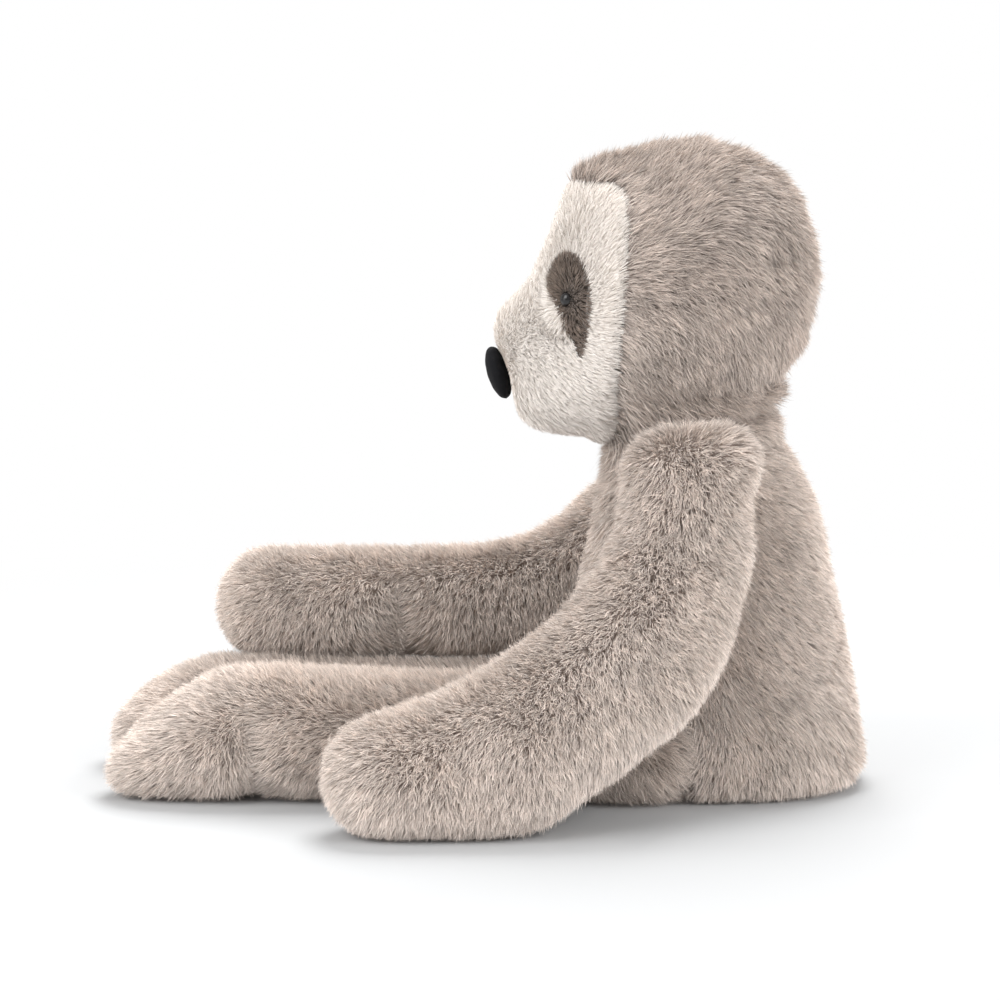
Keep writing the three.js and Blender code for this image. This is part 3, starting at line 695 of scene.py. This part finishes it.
# Swells and dents that the photograph shows in the skins, all in millimetres: how deep at most, about
# which place, and how far round it. A place with None in it spans that axis.
ARM_FOLD = -122
LEG_FOLD = -174
FORMS = {
    "flank beside the leg": (2.5, (None, -8, 18), 12),
    "fold of the raised arm": (5.0, (None, ARM_FOLD, None), 5),
    "top of the raised arm": (6.5, (None, -52, 104), 22),
    "back of the shoulder": (5.5, (None, 5, 132), 12),
    "front of the shoulder": (4.0, (None, -30, 128), 12),
    "armpit": (4.4, (None, None, 116), 13),
    "elbow": (4.2, (None, -12, 50), 25),
    "forearm": (4.5, (None, -74, 8), 24),
    "crease of the leg": (3.0, (None, LEG_FOLD, None), 5),
    "root of the leg": (4.5, (None, -17, 14), 16),
    "fringe over the face": (2.2, (0, -44, 230), 15),
    "bridge of the muzzle": (3.3, (0, -80, 172), 13),
    "front of the chin": (1.2, (0, -78, 147), 11),
    "under the chin": (2.2, (None, -52, 128), 14),
}


def hill(points, centre, radius):
    """1 at a place, falling softly to 0 about a radius away. None in the place spans that axis."""
    total = np.zeros(len(points))
    for axis, value in enumerate(centre):
        if value is not None:
            total += ((points[:, axis] - value * MM) / (radius * MM)) ** 2
    return np.exp(-total)


def formed(points, name):
    """How deep one of the named swells or dents is at each point, in millimetres."""
    depth, place, radius = FORMS[name]
    return depth * hill(points, place, radius)


def tip_height(length, lean):
    """How high the tip of a strand stands over its root when it leans with that slope."""
    return TIP_SHARE * length / math.hypot(1, lean)


def even_pile(points, normals):
    """Fur as long everywhere as its coat says."""
    return np.ones(len(points))


def shell_nodes(body):
    """The CAD nodes of a body that show or fill its outer form."""
    nodes = frame["record"]["behaviour"]["bodies"][body]
    return [name for name in nodes if name.endswith(("_panel", "_stuffing", "_pouch"))]


def taupe():
    """The long fur of the torso and the limbs."""
    fur = bpy.context.scene.sloth_fur
    found = bpy.data.materials.get("Taupe fur")
    return found or fur_material("Taupe fur", fur.tip_colour, fur.root_colour)


def taupe_skin():
    """The backing under all the taupe fur, a little paler than the roots."""
    fur = bpy.context.scene.sloth_fur
    found = bpy.data.materials.get("Taupe backing")
    return found or skin_material("Taupe backing", [1.3 * channel for channel in fur.root_colour])


Coat = namedtuple("Coat", ("panel", "fur", "length", "lean", "slot", "fine"))


def dressed_body(
        body, nodes, inner, coats, backings, comb, pile, depth, others,
        rounds=SKIN_ROUNDS, leads_of=panel_leads):
    """Makes the skin of a body, which stands for its inner nodes, and the coat of each outer panel."""
    fur = bpy.context.scene.sloth_fur
    skin = closed_skin(f"{body}_skin", nodes, SKIN_VOXEL, rounds)
    mesh = skin.data
    outside = points_of(mesh)
    normals = normals_of(mesh)
    leads = leads_of(outside, [coat.panel for coat in coats])
    chosen = leads.argmax(axis=0)
    clearances = [signed_distances(outside, surface_of(shell_nodes(other))) for other in others]
    clearance = np.min(clearances, axis=0)
    heights = np.array([tip_height(coat.length, coat.lean) for coat in coats])[chosen]
    piled = pile(outside, normals)
    wished = heights * np.minimum(piled, 1) - fur.overhang + depth(outside, normals)
    beside = 1 - ramp(clearance, 0, NEAR_OTHER)
    drawn_in(skin, evened(mesh, wished, SUNK_ROUNDS) * (1 - beside * (1 - NEAR_DEPTH_SHARE)))
    attribute(mesh, "comb", "FLOAT_VECTOR", "POINT", flattened(comb(outside, normals), normals))
    attribute(mesh, "pile", "FLOAT", "POINT", piled)
    for index, coat in enumerate(coats):
        settings = {
            "Density": coat_density(),
            "Length": coat.length,
            "Width": fur.strand_width,
            "Lean": coat.lean,
            "Lock size": fur.lock_size,
            "Floor": FLOOR_GAP,
            "Seed": fur.seed + SEED_STEP * index,
            "Material": coat.fur,
        }
        if coat.fine:
            settings.update(FINE_COAT)
            settings["Density"] *= FINE_COAT_DENSITY
        cover = np.minimum(leads[index], clearance + BURIED_BY)
        grown = grown_fur(coat.panel.removesuffix("_panel") + "_fur", skin, cover, settings)
        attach(grown, body)
        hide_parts(coat.panel)
    for name in ("comb", "pile", "cover"):
        mesh.attributes.remove(mesh.attributes[name])
    mesh.materials.clear()
    for backing in backings:
        mesh.materials.append(backing)
    if len(backings) > 1:
        first = np.zeros(len(mesh.polygons), dtype=int)
        for polygon in mesh.polygons:
            first[polygon.index] = chosen[polygon.vertices[0]]
        mesh.polygons.foreach_set("material_index", first)
    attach(skin, body)
    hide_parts(*inner)


# The torso

TORSO_LEAN = 0.85
FLANK_TURN = 0.75
LEG_TURN = 0.7
LEG_TURN_PLACE = (None, -16, 12)
LEG_TURN_RADIUS = 16


def torso_comb(points, normals):
    """Down, and backward on the flanks, but forward under the root of a leg."""
    flank = ramp(np.abs(normals[:, X]), 0.2, 0.7)
    down = np.tile(DOWN, (len(points), 1))
    down[:, Y] = FLANK_TURN * flank * past(points, Y, -15, 10) * past(points, Z, 20, 42)
    down[:, Y] -= LEG_TURN * flank * hill(points, LEG_TURN_PLACE, LEG_TURN_RADIUS)
    return unit(down)


def torso_depth(points, normals):
    """Slimmer at the nape and the throat, and fuller beside each leg."""
    nape = 4.5 * past(points, Z, 105, 145) * ramp(normals[:, Y], 0.1, 0.6)
    throat = 4.0 * past(points, Z, 120, 140) * ramp(-normals[:, Y], 0.3, 0.8)
    flank = formed(points, "flank beside the leg") * ramp(np.abs(normals[:, X]), 0.4, 0.8)
    return MM * (nape + throat - flank)


class SLOTH_OT_torso(bpy.types.Operator):
    """Dress the torso in its skin and its long fur."""

    bl_idname = "sloth.torso"
    bl_label = "Torso"

    def execute(self, context):
        fur = context.scene.sloth_fur
        coats = [
            Coat(f"torso_{part}_panel", taupe(), fur.pile_length, TORSO_LEAN, "fur", False)
            for part in ("front", "back", "seat")
        ]
        dressed_body(
            "torso", shell_nodes("torso"), ["torso_stuffing", "bean_pouch"], coats, [taupe_skin()],
            torso_comb, even_pile, torso_depth, ["head", "left_arm", "right_arm", "left_leg", "right_leg"])
        return {"FINISHED"}


# Arms and legs

LIMB_LEAN = {"arm": 1.05, "leg": 1.0}
LIMB_PILE = {"arm": 0.88, "leg": 1.0}

# How the fur of each limb is combed: how many millimetres off the root lies the point that it flows
# from, how far it droops, and how far it spreads to the sides
LIMB_COMB = {
    "left_arm": ((0, -9, 41), 0.5, 0.3),
    "right_arm": ((0, 0, 30), 0.8, 0.1),
    "left_leg": ((0, 0, 0), 0.5, 0.3),
    "right_leg": ((0, 0, 0), 0.5, 0.3),
}
ACROSS_SHARE = 0.3
ALONG_SHARE = 0.8
LEAST_SIDEWAYS = 0.4
LEG_ROOT_REACH = (25 * MM, 50 * MM)
LEG_ROOT_COMB = (0.0, 0.75, -0.55)

# The fold across a limb: its place along Y, how far ahead of it and behind it the fur turns toward it,
# all in millimetres, and how firmly
FOLDS = {"arm": (ARM_FOLD, 28, 14, 1.4), "leg": (LEG_FOLD, 12, 9, 0.9)}


def under(normals):
    """1 on the underside of a limb, and 0 on top."""
    return ramp(-normals[:, Z], -0.3, 0.4)


def low(points):
    """1 near the ground, and 0 from the upper half of a leg on."""
    return 1 - past(points, Z, 26, 40)


def toward_fold(points, limb, share):
    """A push along Y that lays the fur into a fold across a limb from both sides."""
    place, ahead, behind, strength = FOLDS[limb]
    away = points[:, Y] - place * MM
    push = np.zeros((len(points), 3))
    reach = np.where(away < 0, ahead, behind) * MM
    push[:, Y] = -strength * share * np.sign(away) * np.exp(-(away / reach) ** 2)
    return push


def limb_comb(body, root):
    """Combs a limb's fur down its length and a little to the sides, and on the raised arm and the legs into its
    fold.
    """
    source, droop, spread = LIMB_COMB[body]

    def comb(points, normals):
        outward = points - root - MM * np.array(source)
        outward[:, X] *= ACROSS_SHARE
        sideways = normals * np.array([0, 1, 1])
        sideways /= np.maximum(np.linalg.norm(sideways, axis=1, keepdims=True), LEAST_SIDEWAYS)
        result = ALONG_SHARE * unit(unit(outward) + droop * DOWN) + spread * sideways
        if body == "right_arm":
            return result + toward_fold(points, "arm", under(normals))
        if body == "left_arm":
            return result
        at_root = (1 - ramp(np.linalg.norm(points - root, axis=1), *LEG_ROOT_REACH))[:, None]
        result = result * (1 - at_root) + np.array(LEG_ROOT_COMB) * at_root
        return result + toward_fold(points, "leg", low(points))

    return comb


def limb_pile(limb, root):
    """How long a limb's fur is: a little longer on a shoulder, and longest about a leg's root."""

    def pile(points, normals):
        if limb == "arm":
            return 1 + 0.15 * past(points, Z, 116, 134)
        reach = np.linalg.norm(points - root, axis=1)
        return 1.6 - 0.6 * ramp(reach, 22 * MM, 42 * MM)

    return pile


def shoulder_depth(points):
    """How far the outer top of a shoulder is rounded off, in millimetres."""
    outer = ramp(np.abs(points[:, X]), 46 * MM, 62 * MM)
    return 2.0 * past(points, Z, 112, 138) * outer


def right_arm_depth(points, normals):
    """The raised arm is slimmer above and fuller below, with a round tip and a fold."""
    upward = normals[:, Z]
    slimmer = 3.2 * upward
    fold = formed(points, "fold of the raised arm") * ramp(-upward, -0.6, 0.1)
    fold *= 1 - ramp(-upward, 0.5, 0.9)
    tip = 1.8 * ramp(-normals[:, Y], 0.4, 0.9)
    shoulder = 1.6 * past(points, Z, 122, 136) * ramp(upward, 0, 0.7) + shoulder_depth(points)
    top = formed(points, "top of the raised arm") * ramp(upward, 0, 0.6)
    return MM * (slimmer + fold + tip + shoulder - top)


def left_arm_depth(points, normals):
    """The hanging arm is fuller at the shoulder's corners, the elbow and under the forearm."""
    upward = normals[:, Z]
    backward = normals[:, Y]
    corners = formed(points, "back of the shoulder") + formed(points, "front of the shoulder")
    armpit = formed(points, "armpit") * ramp(backward, 0.2, 0.8)
    elbow = formed(points, "elbow") * ramp(backward - upward, 0.3, 1.1)
    forearm = formed(points, "forearm") * ramp(-upward, 0.1, 0.7)
    return MM * (shoulder_depth(points) + armpit - corners - elbow - forearm)


def leg_depth(toe_top):
    """A leg has a crease across its lower half, a full root, and its toe drawn in above."""

    def depth(points, normals):
        crease = formed(points, "crease of the leg") * low(points)
        toe = toe_top * ramp(-points[:, Y], 185 * MM, 205 * MM) * ramp(normals[:, Z], 0.1, 0.6)
        return MM * (crease + toe - formed(points, "root of the leg"))

    return depth


LIMB_DEPTH = {
    "left_arm": left_arm_depth,
    "right_arm": right_arm_depth,
    "left_leg": leg_depth(3.0),
    "right_leg": leg_depth(-1.5),
}


class SLOTH_OT_limbs(bpy.types.Operator):
    """Dress both arms and both legs."""

    bl_idname = "sloth.limbs"
    bl_label = "Arms and legs"

    def execute(self, context):
        fur = context.scene.sloth_fur
        for limb, joint in (("arm", "shoulder_swing"), ("leg", "hip_swing")):
            for side in SIDES:
                body = f"{side}_{limb}"
                root = np.array(JOINTS[f"{side}_{joint}"]["pos_m"])
                length = LIMB_PILE[limb] * fur.pile_length
                coats = [
                    Coat(f"{body}_{part}", taupe(), length, LIMB_LEAN[limb], "fur", False)
                    for part in LIMB_PANELS[limb]
                ]
                dressed_body(
                    body, shell_nodes(body), [f"{body}_stuffing"], coats, [taupe_skin()],
                    limb_comb(body, root), limb_pile(limb, root), LIMB_DEPTH[body], ["torso"],
                    rounds=LIMB_ROUNDS)
        return {"FINISHED"}


# The head

# How far the middle of a bead lies off the middle of its solid, in millimetres: out, back and up
BEAD_SHIFT = (0.5, 1.8, 0.3)


def eye_gaze(side):
    """Direction that an eye looks, out from its washer through its bead."""
    middle, washer = (np.array(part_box(f"{side}_{piece}")).mean(axis=0) for piece in ("eye", "eye_washer"))
    return Vector(middle - washer).normalized()


def eye_middle(side):
    """Where the middle of a bead lies."""
    outward, backward, upward = BEAD_SHIFT
    bottom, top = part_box(f"{side}_eye")
    return (bottom + top) / 2 + Vector((SIDES[side] * outward, backward, upward)) * MM


def from_eyes(points):
    """For each eye, the way from its middle to each point, and how far that is."""
    ways = [points - np.array(eye_middle(side)) for side in SIDES]
    return [(way, np.linalg.norm(way, axis=1)) for way in ways]


def from_nose(points):
    """The way from the middle of the nose to each point, and how far beside the nose's axis that is."""
    bottom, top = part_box("nose")
    way = points - np.array((bottom + top) / 2)
    return way, np.linalg.norm(way[:, [X, Z]], axis=1)


# Lines on the head in millimetres: where the hood's fur parts, and the edge of the cream face
PARTING = {"y": (-34, -14, 6, 24), "z": (194, 203, 207, 208)}
FACE_EDGE = {"z": (134, 150, 168, 186, 206), "y": (-41.9, -42.4, -42.0, -40.6, -38.7)}
FACE_TOP = 225.5 * MM
FACE_CORNER = 6 * MM

# An eye patch seen square to its eye, in millimetres off the eye: outward and upward
PATCH_OUTLINE = (
    (-0.5, 16.3), (4.4, 15.6), (9.2, 11.4), (12.2, 4.6), (12.6, -3.0),
    (11.2, -10.6), (9.0, -17.4), (7.2, -21.8), (6.2, -18.0), (4.8, -12.0),
    (0.8, -5.2), (-6.2, 2.4), (-9.0, 9.0), (-6.6, 14.0),
)
PATCH_REACH = 20 * MM


def over_parting(points):
    """Height of each point over the line where the fur of the hood parts."""
    parting = np.interp(points[:, Y], np.array(PARTING["y"]) * MM, np.array(PARTING["z"]) * MM)
    return points[:, Z] - parting


def face_leads(points):
    """How far each point lies inside the edge of the cream face, and below zero outside it."""
    edge = np.interp(points[:, Z], np.array(FACE_EDGE["z"]) * MM, np.array(FACE_EDGE["y"]) * MM)
    before = edge - points[:, Y]
    below = FACE_TOP - points[:, Z]
    corner = FACE_CORNER - np.hypot(np.maximum(FACE_CORNER - before, 0), np.maximum(FACE_CORNER - below, 0))
    return np.minimum(np.minimum(before, below), corner)


def patch_leads(points, side):
    """How far each point lies inside the outline of an eye patch, seen square to its eye."""
    offset = points - np.array(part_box(f"{side}_eye")).mean(axis=0)
    gaze = np.array(eye_gaze(side))
    across = unit(np.array([-gaze[1], gaze[0], 0.0])) * SIDES[side]
    seen = np.stack([offset @ across, offset[:, Z]], axis=1)
    ring = np.array(PATCH_OUTLINE) * MM
    nearest = np.full(len(points), np.inf)
    crossings = np.zeros(len(points), dtype=int)
    for start, end in zip(ring, np.roll(ring, -1, axis=0)):
        along = end - start
        share = np.clip((seen - start) @ along / (along @ along), 0, 1)[:, None]
        nearest = np.minimum(nearest, np.linalg.norm(seen - start - share * along, axis=1))
        spans = (start[1] > seen[:, 1]) != (end[1] > seen[:, 1])
        rise = np.where(spans, end[1] - start[1], 1.0)
        reach = start[0] + (seen[:, 1] - start[1]) / rise * along[0]
        crossings += spans & (seen[:, 0] < reach)
    before = offset @ gaze > -PATCH_REACH
    return np.where((crossings % 2 == 1) & before, nearest, -nearest)


def head_leads(points, panels):
    """For each point and panel of the head, how far inside that panel the point lies."""
    face = face_leads(points)
    patches = [patch_leads(points, side) for side in SIDES]
    hood = panel_leads(points, panels[:3])
    leads = [np.minimum(lead, -face) for lead in hood]
    leads.append(np.minimum(face, -np.maximum(*patches)))
    return np.array(leads + patches)


# How the fur of the head is combed: from the parting outward, backward, and up or down; and on the face
# away from the nose, drooping and laid flatter over the muzzle
PARTING_WIDTH = 15 * MM
HOOD_OUTWARD = 0.35
HOOD_BACKWARD = 0.85
HOOD_UPWARD = 0.85
HOOD_DROOP = 0.1
MUZZLE_DROOP = 0.5
MUZZLE_LAID = 0.5


def head_comb(points, normals):
    """The hood's fur leaves its parting and hangs behind, and the face's leaves the nose and the eyes."""
    over = np.tanh(over_parting(points) / PARTING_WIDTH)
    outward = HOOD_OUTWARD * np.sign(points[:, X])
    backward = np.full(len(points), HOOD_BACKWARD)
    away = np.stack([outward, backward, HOOD_UPWARD * over - HOOD_DROOP], axis=1)
    behind = ramp(normals[:, Y], -0.1, 0.8)[:, None]
    away = unit(away) * (1 - behind) + DOWN * behind
    muzzle = (1 - past(points, Z, 165, 190))[:, None]
    way, _ = from_nose(points)
    over_face = unit(unit(way) + MUZZLE_DROOP * DOWN * muzzle) * (1 + MUZZLE_LAID * muzzle)
    face = ramp(face_leads(points), -1 * MM, 1 * MM)[:, None]
    result = unit(away) * (1 - face) + over_face * face
    for way, distance in from_eyes(points):
        near = (1 - ramp(distance, 9 * MM, 18 * MM))[:, None]
        result = result * (1 - near) + unit(way) * near
    return result


def head_depth(points, normals):
    """The hood is slimmer behind and below its parting, and the face is shaped about nose and eyes."""
    hooded = -face_leads(points)
    _, beside_nose = from_nose(points)
    behind = 2.2 * ramp(normals[:, Y], 0, 0.9)
    below_parting = np.exp(-((over_parting(points) + 7 * MM) / (8 * MM)) ** 2)
    temple = 2.4 * below_parting * ramp(np.abs(normals[:, X]), 0.4, 0.8) * ramp(hooded, 0, 4 * MM)
    hood = 0.6 * ramp(hooded, 4 * MM, 12 * MM)
    rim = ramp(hooded, -2 * MM, 1 * MM) * (1 - ramp(hooded, 3 * MM, 9 * MM))
    rim *= 1.2 * past(points, Z, 205, 215)
    sockets = sum(1.8 * (1 - ramp(distance, 3.5 * MM, 8 * MM)) for _, distance in from_eyes(points))
    neck = 5.5 * past(points, Y, 10, 30) * (1 - past(points, Z, 142, 170))
    muzzle_tip = ramp(-points[:, Y], 60 * MM, 70 * MM) * (1 - past(points, Z, 164, 169))
    nose_seat = 2.0 * (1 - ramp(beside_nose, 12 * MM, 18 * MM)) * muzzle_tip
    chin = formed(points, "front of the chin")
    chin += formed(points, "under the chin") * ramp(-normals[:, Z], 0, 0.6)
    fuller = formed(points, "fringe over the face") + formed(points, "bridge of the muzzle") + rim
    return MM * (behind + temple + hood + sockets + neck + nose_seat + chin - fuller)


def head_pile(points, normals):
    """Short about the eyes and the nose, and long where the hood hangs over the shoulders."""
    result = np.ones(len(points))
    for _, distance in from_eyes(points):
        result *= 0.3 + 0.7 * ramp(distance, 3 * MM, 9 * MM)
    _, beside_nose = from_nose(points)
    result *= 0.35 + 0.65 * ramp(beside_nose, 9 * MM, 16 * MM)
    hanging = (1 - past(points, Z, 138, 150)) * ramp(-face_leads(points), 0, 4 * MM)
    hanging *= 1 - past(points, Y, 5, 22)
    return result + 1.1 * hanging


# The hood is of the same taupe fur as the body: its tips and roots are painted darker and a little greyer, by a
# share of each channel, as painted shade
HOOD_PAINTED_SHADE = (0.82, 0.798, 0.785)
HOOD_ROOT_SHARE = 0.66
HOOD_PILE = 1.15
HOOD_LEAN = 1.05
FACE_LEAN = 1.1
PATCH_LEAN = 1.3
CREAM_ROOT_SHARES = (0.95, 0.92, 0.89)
PATCH_ROOT_SHARE = 0.25


def shaded(colour, shares):
    """A colour with each of its channels taken down to a share."""
    return tuple(share * channel for share, channel in zip(shares, colour))


class SLOTH_OT_head(bpy.types.Operator):
    """Dress the head: hood, cream face and eye patches."""

    bl_idname = "sloth.head"
    bl_label = "Head"

    def execute(self, context):
        fur = context.scene.sloth_fur
        # The hood's fur is the body's taupe fur with painted shade
        painted_shade_hood_tip = shaded(fur.tip_colour, HOOD_PAINTED_SHADE)
        painted_shade_hood_root = shaded(fur.root_colour, [HOOD_ROOT_SHARE * share for share in HOOD_PAINTED_SHADE])
        cream_root = shaded(fur.cream_colour, CREAM_ROOT_SHARES)
        patch_root = shaded(fur.patch_colour, [PATCH_ROOT_SHARE] * 3)
        hood = fur_material("Hood fur", painted_shade_hood_tip, painted_shade_hood_root, 1.15, 0.35)
        cream = fur_material("Cream fur", fur.cream_colour, cream_root, 0.08, 0.08)
        patch = fur_material("Patch fur", fur.patch_colour, patch_root, 1.1, 0.3)
        patch_backing = skin_material("Patch backing", patch_root)
        backings = [taupe_skin()] * 3
        backings += [skin_material("Cream backing", fur.cream_colour, 0.95), patch_backing, patch_backing]
        length = HOOD_PILE * fur.pile_length
        coats = [
            Coat(f"hood_{part}_panel", hood, length, HOOD_LEAN, "fur", False)
            for part in ("crown", "left", "right")
        ]
        coats.append(Coat("face_panel", cream, fur.face_length, FACE_LEAN, "face_fur", True))
        patches = [f"{side}_eye_patch" for side in SIDES]
        coats += [Coat(name, patch, fur.patch_length, PATCH_LEAN, "patch_fur", True) for name in patches]
        dressed_body(
            "head", shell_nodes("head") + patches, ["head_stuffing"], coats, backings, head_comb,
            head_pile, head_depth, ["torso"], leads_of=head_leads)
        return {"FINISHED"}


# Eyes, nose and inner pieces

NOSE_VOXEL = 0.5 * MM
NOSE_ROUNDS = 30


class SLOTH_OT_details(bpy.types.Operator):
    """Make the bead eyes and the suede nose, and finish the pieces that stay as they are."""

    bl_idname = "sloth.details"
    bl_label = "Eyes, nose and inner pieces"

    def execute(self, context):
        face = context.scene.sloth_face
        glossy = eye_material(face.eye_colour)
        for side in SIDES:
            shape = bmesh.new()
            bmesh.ops.create_uvsphere(shape, u_segments=40, v_segments=24, radius=face.bead_radius)
            bmesh.ops.translate(shape, verts=shape.verts, vec=eye_middle(side))
            mesh = bpy.data.meshes.new(f"{side}_bead")
            shape.to_mesh(mesh)
            shape.free()
            smooth_faces(mesh)
            mesh.materials.append(glossy)
            bead = new_object(f"{side}_bead", mesh)
            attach(bead, "head")
            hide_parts(f"{side}_eye")
        nose = closed_skin("nose_suede", ["nose"], NOSE_VOXEL, NOSE_ROUNDS)
        nose.data.materials.append(suede_material(face.nose_colour))
        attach(nose, "head")
        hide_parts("nose")
        finishes = {
            "washer": plain_material("Washer", (0.8, 0.8, 0.78), 0.45, 2 * MM),
            "seam": plain_material("Seam thread", (0.3, 0.25, 0.21), 0.8, 0.5 * MM),
        }
        for name, node in NODES.items():
            if node.hide_render:
                continue
            finish = next((finishes[key] for key in finishes if key in name), None)
            if finish is None:
                raise RuntimeError(f"{name} has no finish")
            node.data.materials.clear()
            node.data.materials.append(finish)
        return {"FINISHED"}


# The stage

# The floor is darker to the camera than to the light it throws back, and fades into the white backdrop
SEEN_FLOOR = 0.46
LIT_FLOOR = 0.80
FLOOR_TINT = (0.98, 0.99, 1.0)
FLOOR_REACH = 3.0
FADE_START = 0.30
FADE_END = 0.75
AMBIENT = 0.68

# Square lamps in metres and watts: place, width and power
LAMPS = {
    "key": ((0.68, -0.90, 0.90), 0.8, 12.5),
    "fill": ((0.78, 1.15, 0.80), 0.9, 17.0),
    "front": ((0.55, -1.2, 0.20), 0.8, 3.5),
    "top": ((-0.5, 0.1, 1.2), 0.9, 24.0),
}


class SLOTH_OT_stage(bpy.types.Operator):
    """Set the floor, the lights and the camera."""

    bl_idname = "sloth.stage"
    bl_label = "Stage"

    def execute(self, context):
        stage = context.scene.sloth_stage
        scene = context.scene
        scene.view_settings.view_transform = "Standard"
        aim = Vector((0, stage.aim_y, stage.aim_z))
        back = Vector((math.cos(stage.camera_rise), 0, math.sin(stage.camera_rise)))
        camera = bpy.data.objects.new("camera", bpy.data.cameras.new("camera"))
        camera.data.sensor_width = 36
        camera.data.lens = stage.camera_lens
        camera.data.clip_start = 0.01
        camera.location = aim + back * stage.camera_distance
        camera.rotation_euler = (-back).to_track_quat("-Z", "Y").to_euler()
        scene.collection.objects.link(camera)
        scene.camera = camera

        floor_mesh = bpy.data.meshes.new("floor")
        corners = [(FLOOR_REACH * x, FLOOR_REACH * y, 0) for x, y in ((-1, -1), (1, -1), (1, 1), (-1, 1))]
        floor_mesh.from_pydata(corners, [], [(0, 1, 2, 3)])
        floor = new_object("floor", floor_mesh)
        made, t, shader = material("Floor", 0.9)
        shader.inputs["Specular IOR Level"].default_value = 0.0
        floor_mesh.materials.append(made)
        glow = t.add("ShaderNodeEmission")
        glow.inputs["Strength"].default_value = 1.0
        length = t.vector("LENGTH", t.add("ShaderNodeTexCoord").outputs["Object"])
        fade = t.add("ShaderNodeMapRange", interpolation_type="SMOOTHSTEP")
        t.give(fade.inputs["Value"], length)
        fade.inputs["From Min"].default_value = FADE_START
        fade.inputs["From Max"].default_value = FADE_END
        seen = t.add("ShaderNodeLightPath").outputs["Is Camera Ray"]
        tint = t.scaled(FLOOR_TINT, t.math("MULTIPLY_ADD", seen, SEEN_FLOOR - LIT_FLOOR, LIT_FLOOR))
        t.give(shader.inputs["Base Color"], tint)
        blend = t.add("ShaderNodeMixShader")
        t.give(blend.inputs[0], t.math("MULTIPLY", fade.outputs[0], seen))
        t.give(blend.inputs[1], shader.outputs[0])
        t.give(blend.inputs[2], glow.outputs[0])
        t.give(made.node_tree.nodes["Material Output"].inputs["Surface"], blend.outputs[0])

        world = bpy.data.worlds.new("studio")
        scene.world = world
        world.use_nodes = True
        t = Tree(world.node_tree)
        sky = world.node_tree.nodes["Background"]
        sky.inputs["Color"].default_value = (1, 1, 1, 1)
        path = t.add("ShaderNodeLightPath")
        shown = t.math("MAXIMUM", path.outputs["Is Camera Ray"], path.outputs["Is Glossy Ray"])
        shown = t.math("MAXIMUM", shown, path.outputs["Is Transmission Ray"])
        t.give(sky.inputs["Strength"], t.math("MULTIPLY_ADD", shown, 1 - AMBIENT, AMBIENT))

        for name, (place, size, watts) in LAMPS.items():
            lamp = bpy.data.lights.new(name, "AREA")
            lamp.size = size
            lamp.energy = watts
            light = bpy.data.objects.new(name, lamp)
            light.location = place
            light.rotation_euler = (Vector(place) - aim).to_track_quat("Z", "Y").to_euler()
            scene.collection.objects.link(light)
        return {"FINISHED"}


# The panel, and the steps in their order

class SLOTH_PT_panel(bpy.types.Panel):
    """Lists the steps that dress the sloth."""

    bl_label = "Plush Sloth"
    bl_idname = "SLOTH_PT_panel"
    bl_space_type = "VIEW_3D"
    bl_region_type = "UI"
    bl_category = "Plush Sloth"

    def draw(self, context):
        for group in ("sloth_fur", "sloth_face", "sloth_stage"):
            settings = getattr(context.scene, group)
            box = self.layout.box()
            for name in settings.__annotations__:
                box.prop(settings, name)
        for step in STEPS:
            self.layout.operator(step.bl_idname)


STEPS = (SLOTH_OT_stage, SLOTH_OT_torso, SLOTH_OT_limbs, SLOTH_OT_head, SLOTH_OT_details)
CLASSES = (FurSettings, FaceSettings, StageSettings, *STEPS, SLOTH_PT_panel)


def register():
    for made in CLASSES:
        bpy.utils.register_class(made)
    bpy.types.Scene.sloth_fur = PointerProperty(type=FurSettings)
    bpy.types.Scene.sloth_face = PointerProperty(type=FaceSettings)
    bpy.types.Scene.sloth_stage = PointerProperty(type=StageSettings)


def unregister():
    for name in ("sloth_fur", "sloth_face", "sloth_stage"):
        delattr(bpy.types.Scene, name)
    for made in reversed(CLASSES):
        bpy.utils.unregister_class(made)


def main():
    register()
    bpy.ops.sloth.stage()
    bpy.ops.sloth.torso()
    bpy.ops.sloth.limbs()
    bpy.ops.sloth.head()
    bpy.ops.sloth.details()


if __name__ == "__main__":
    main()
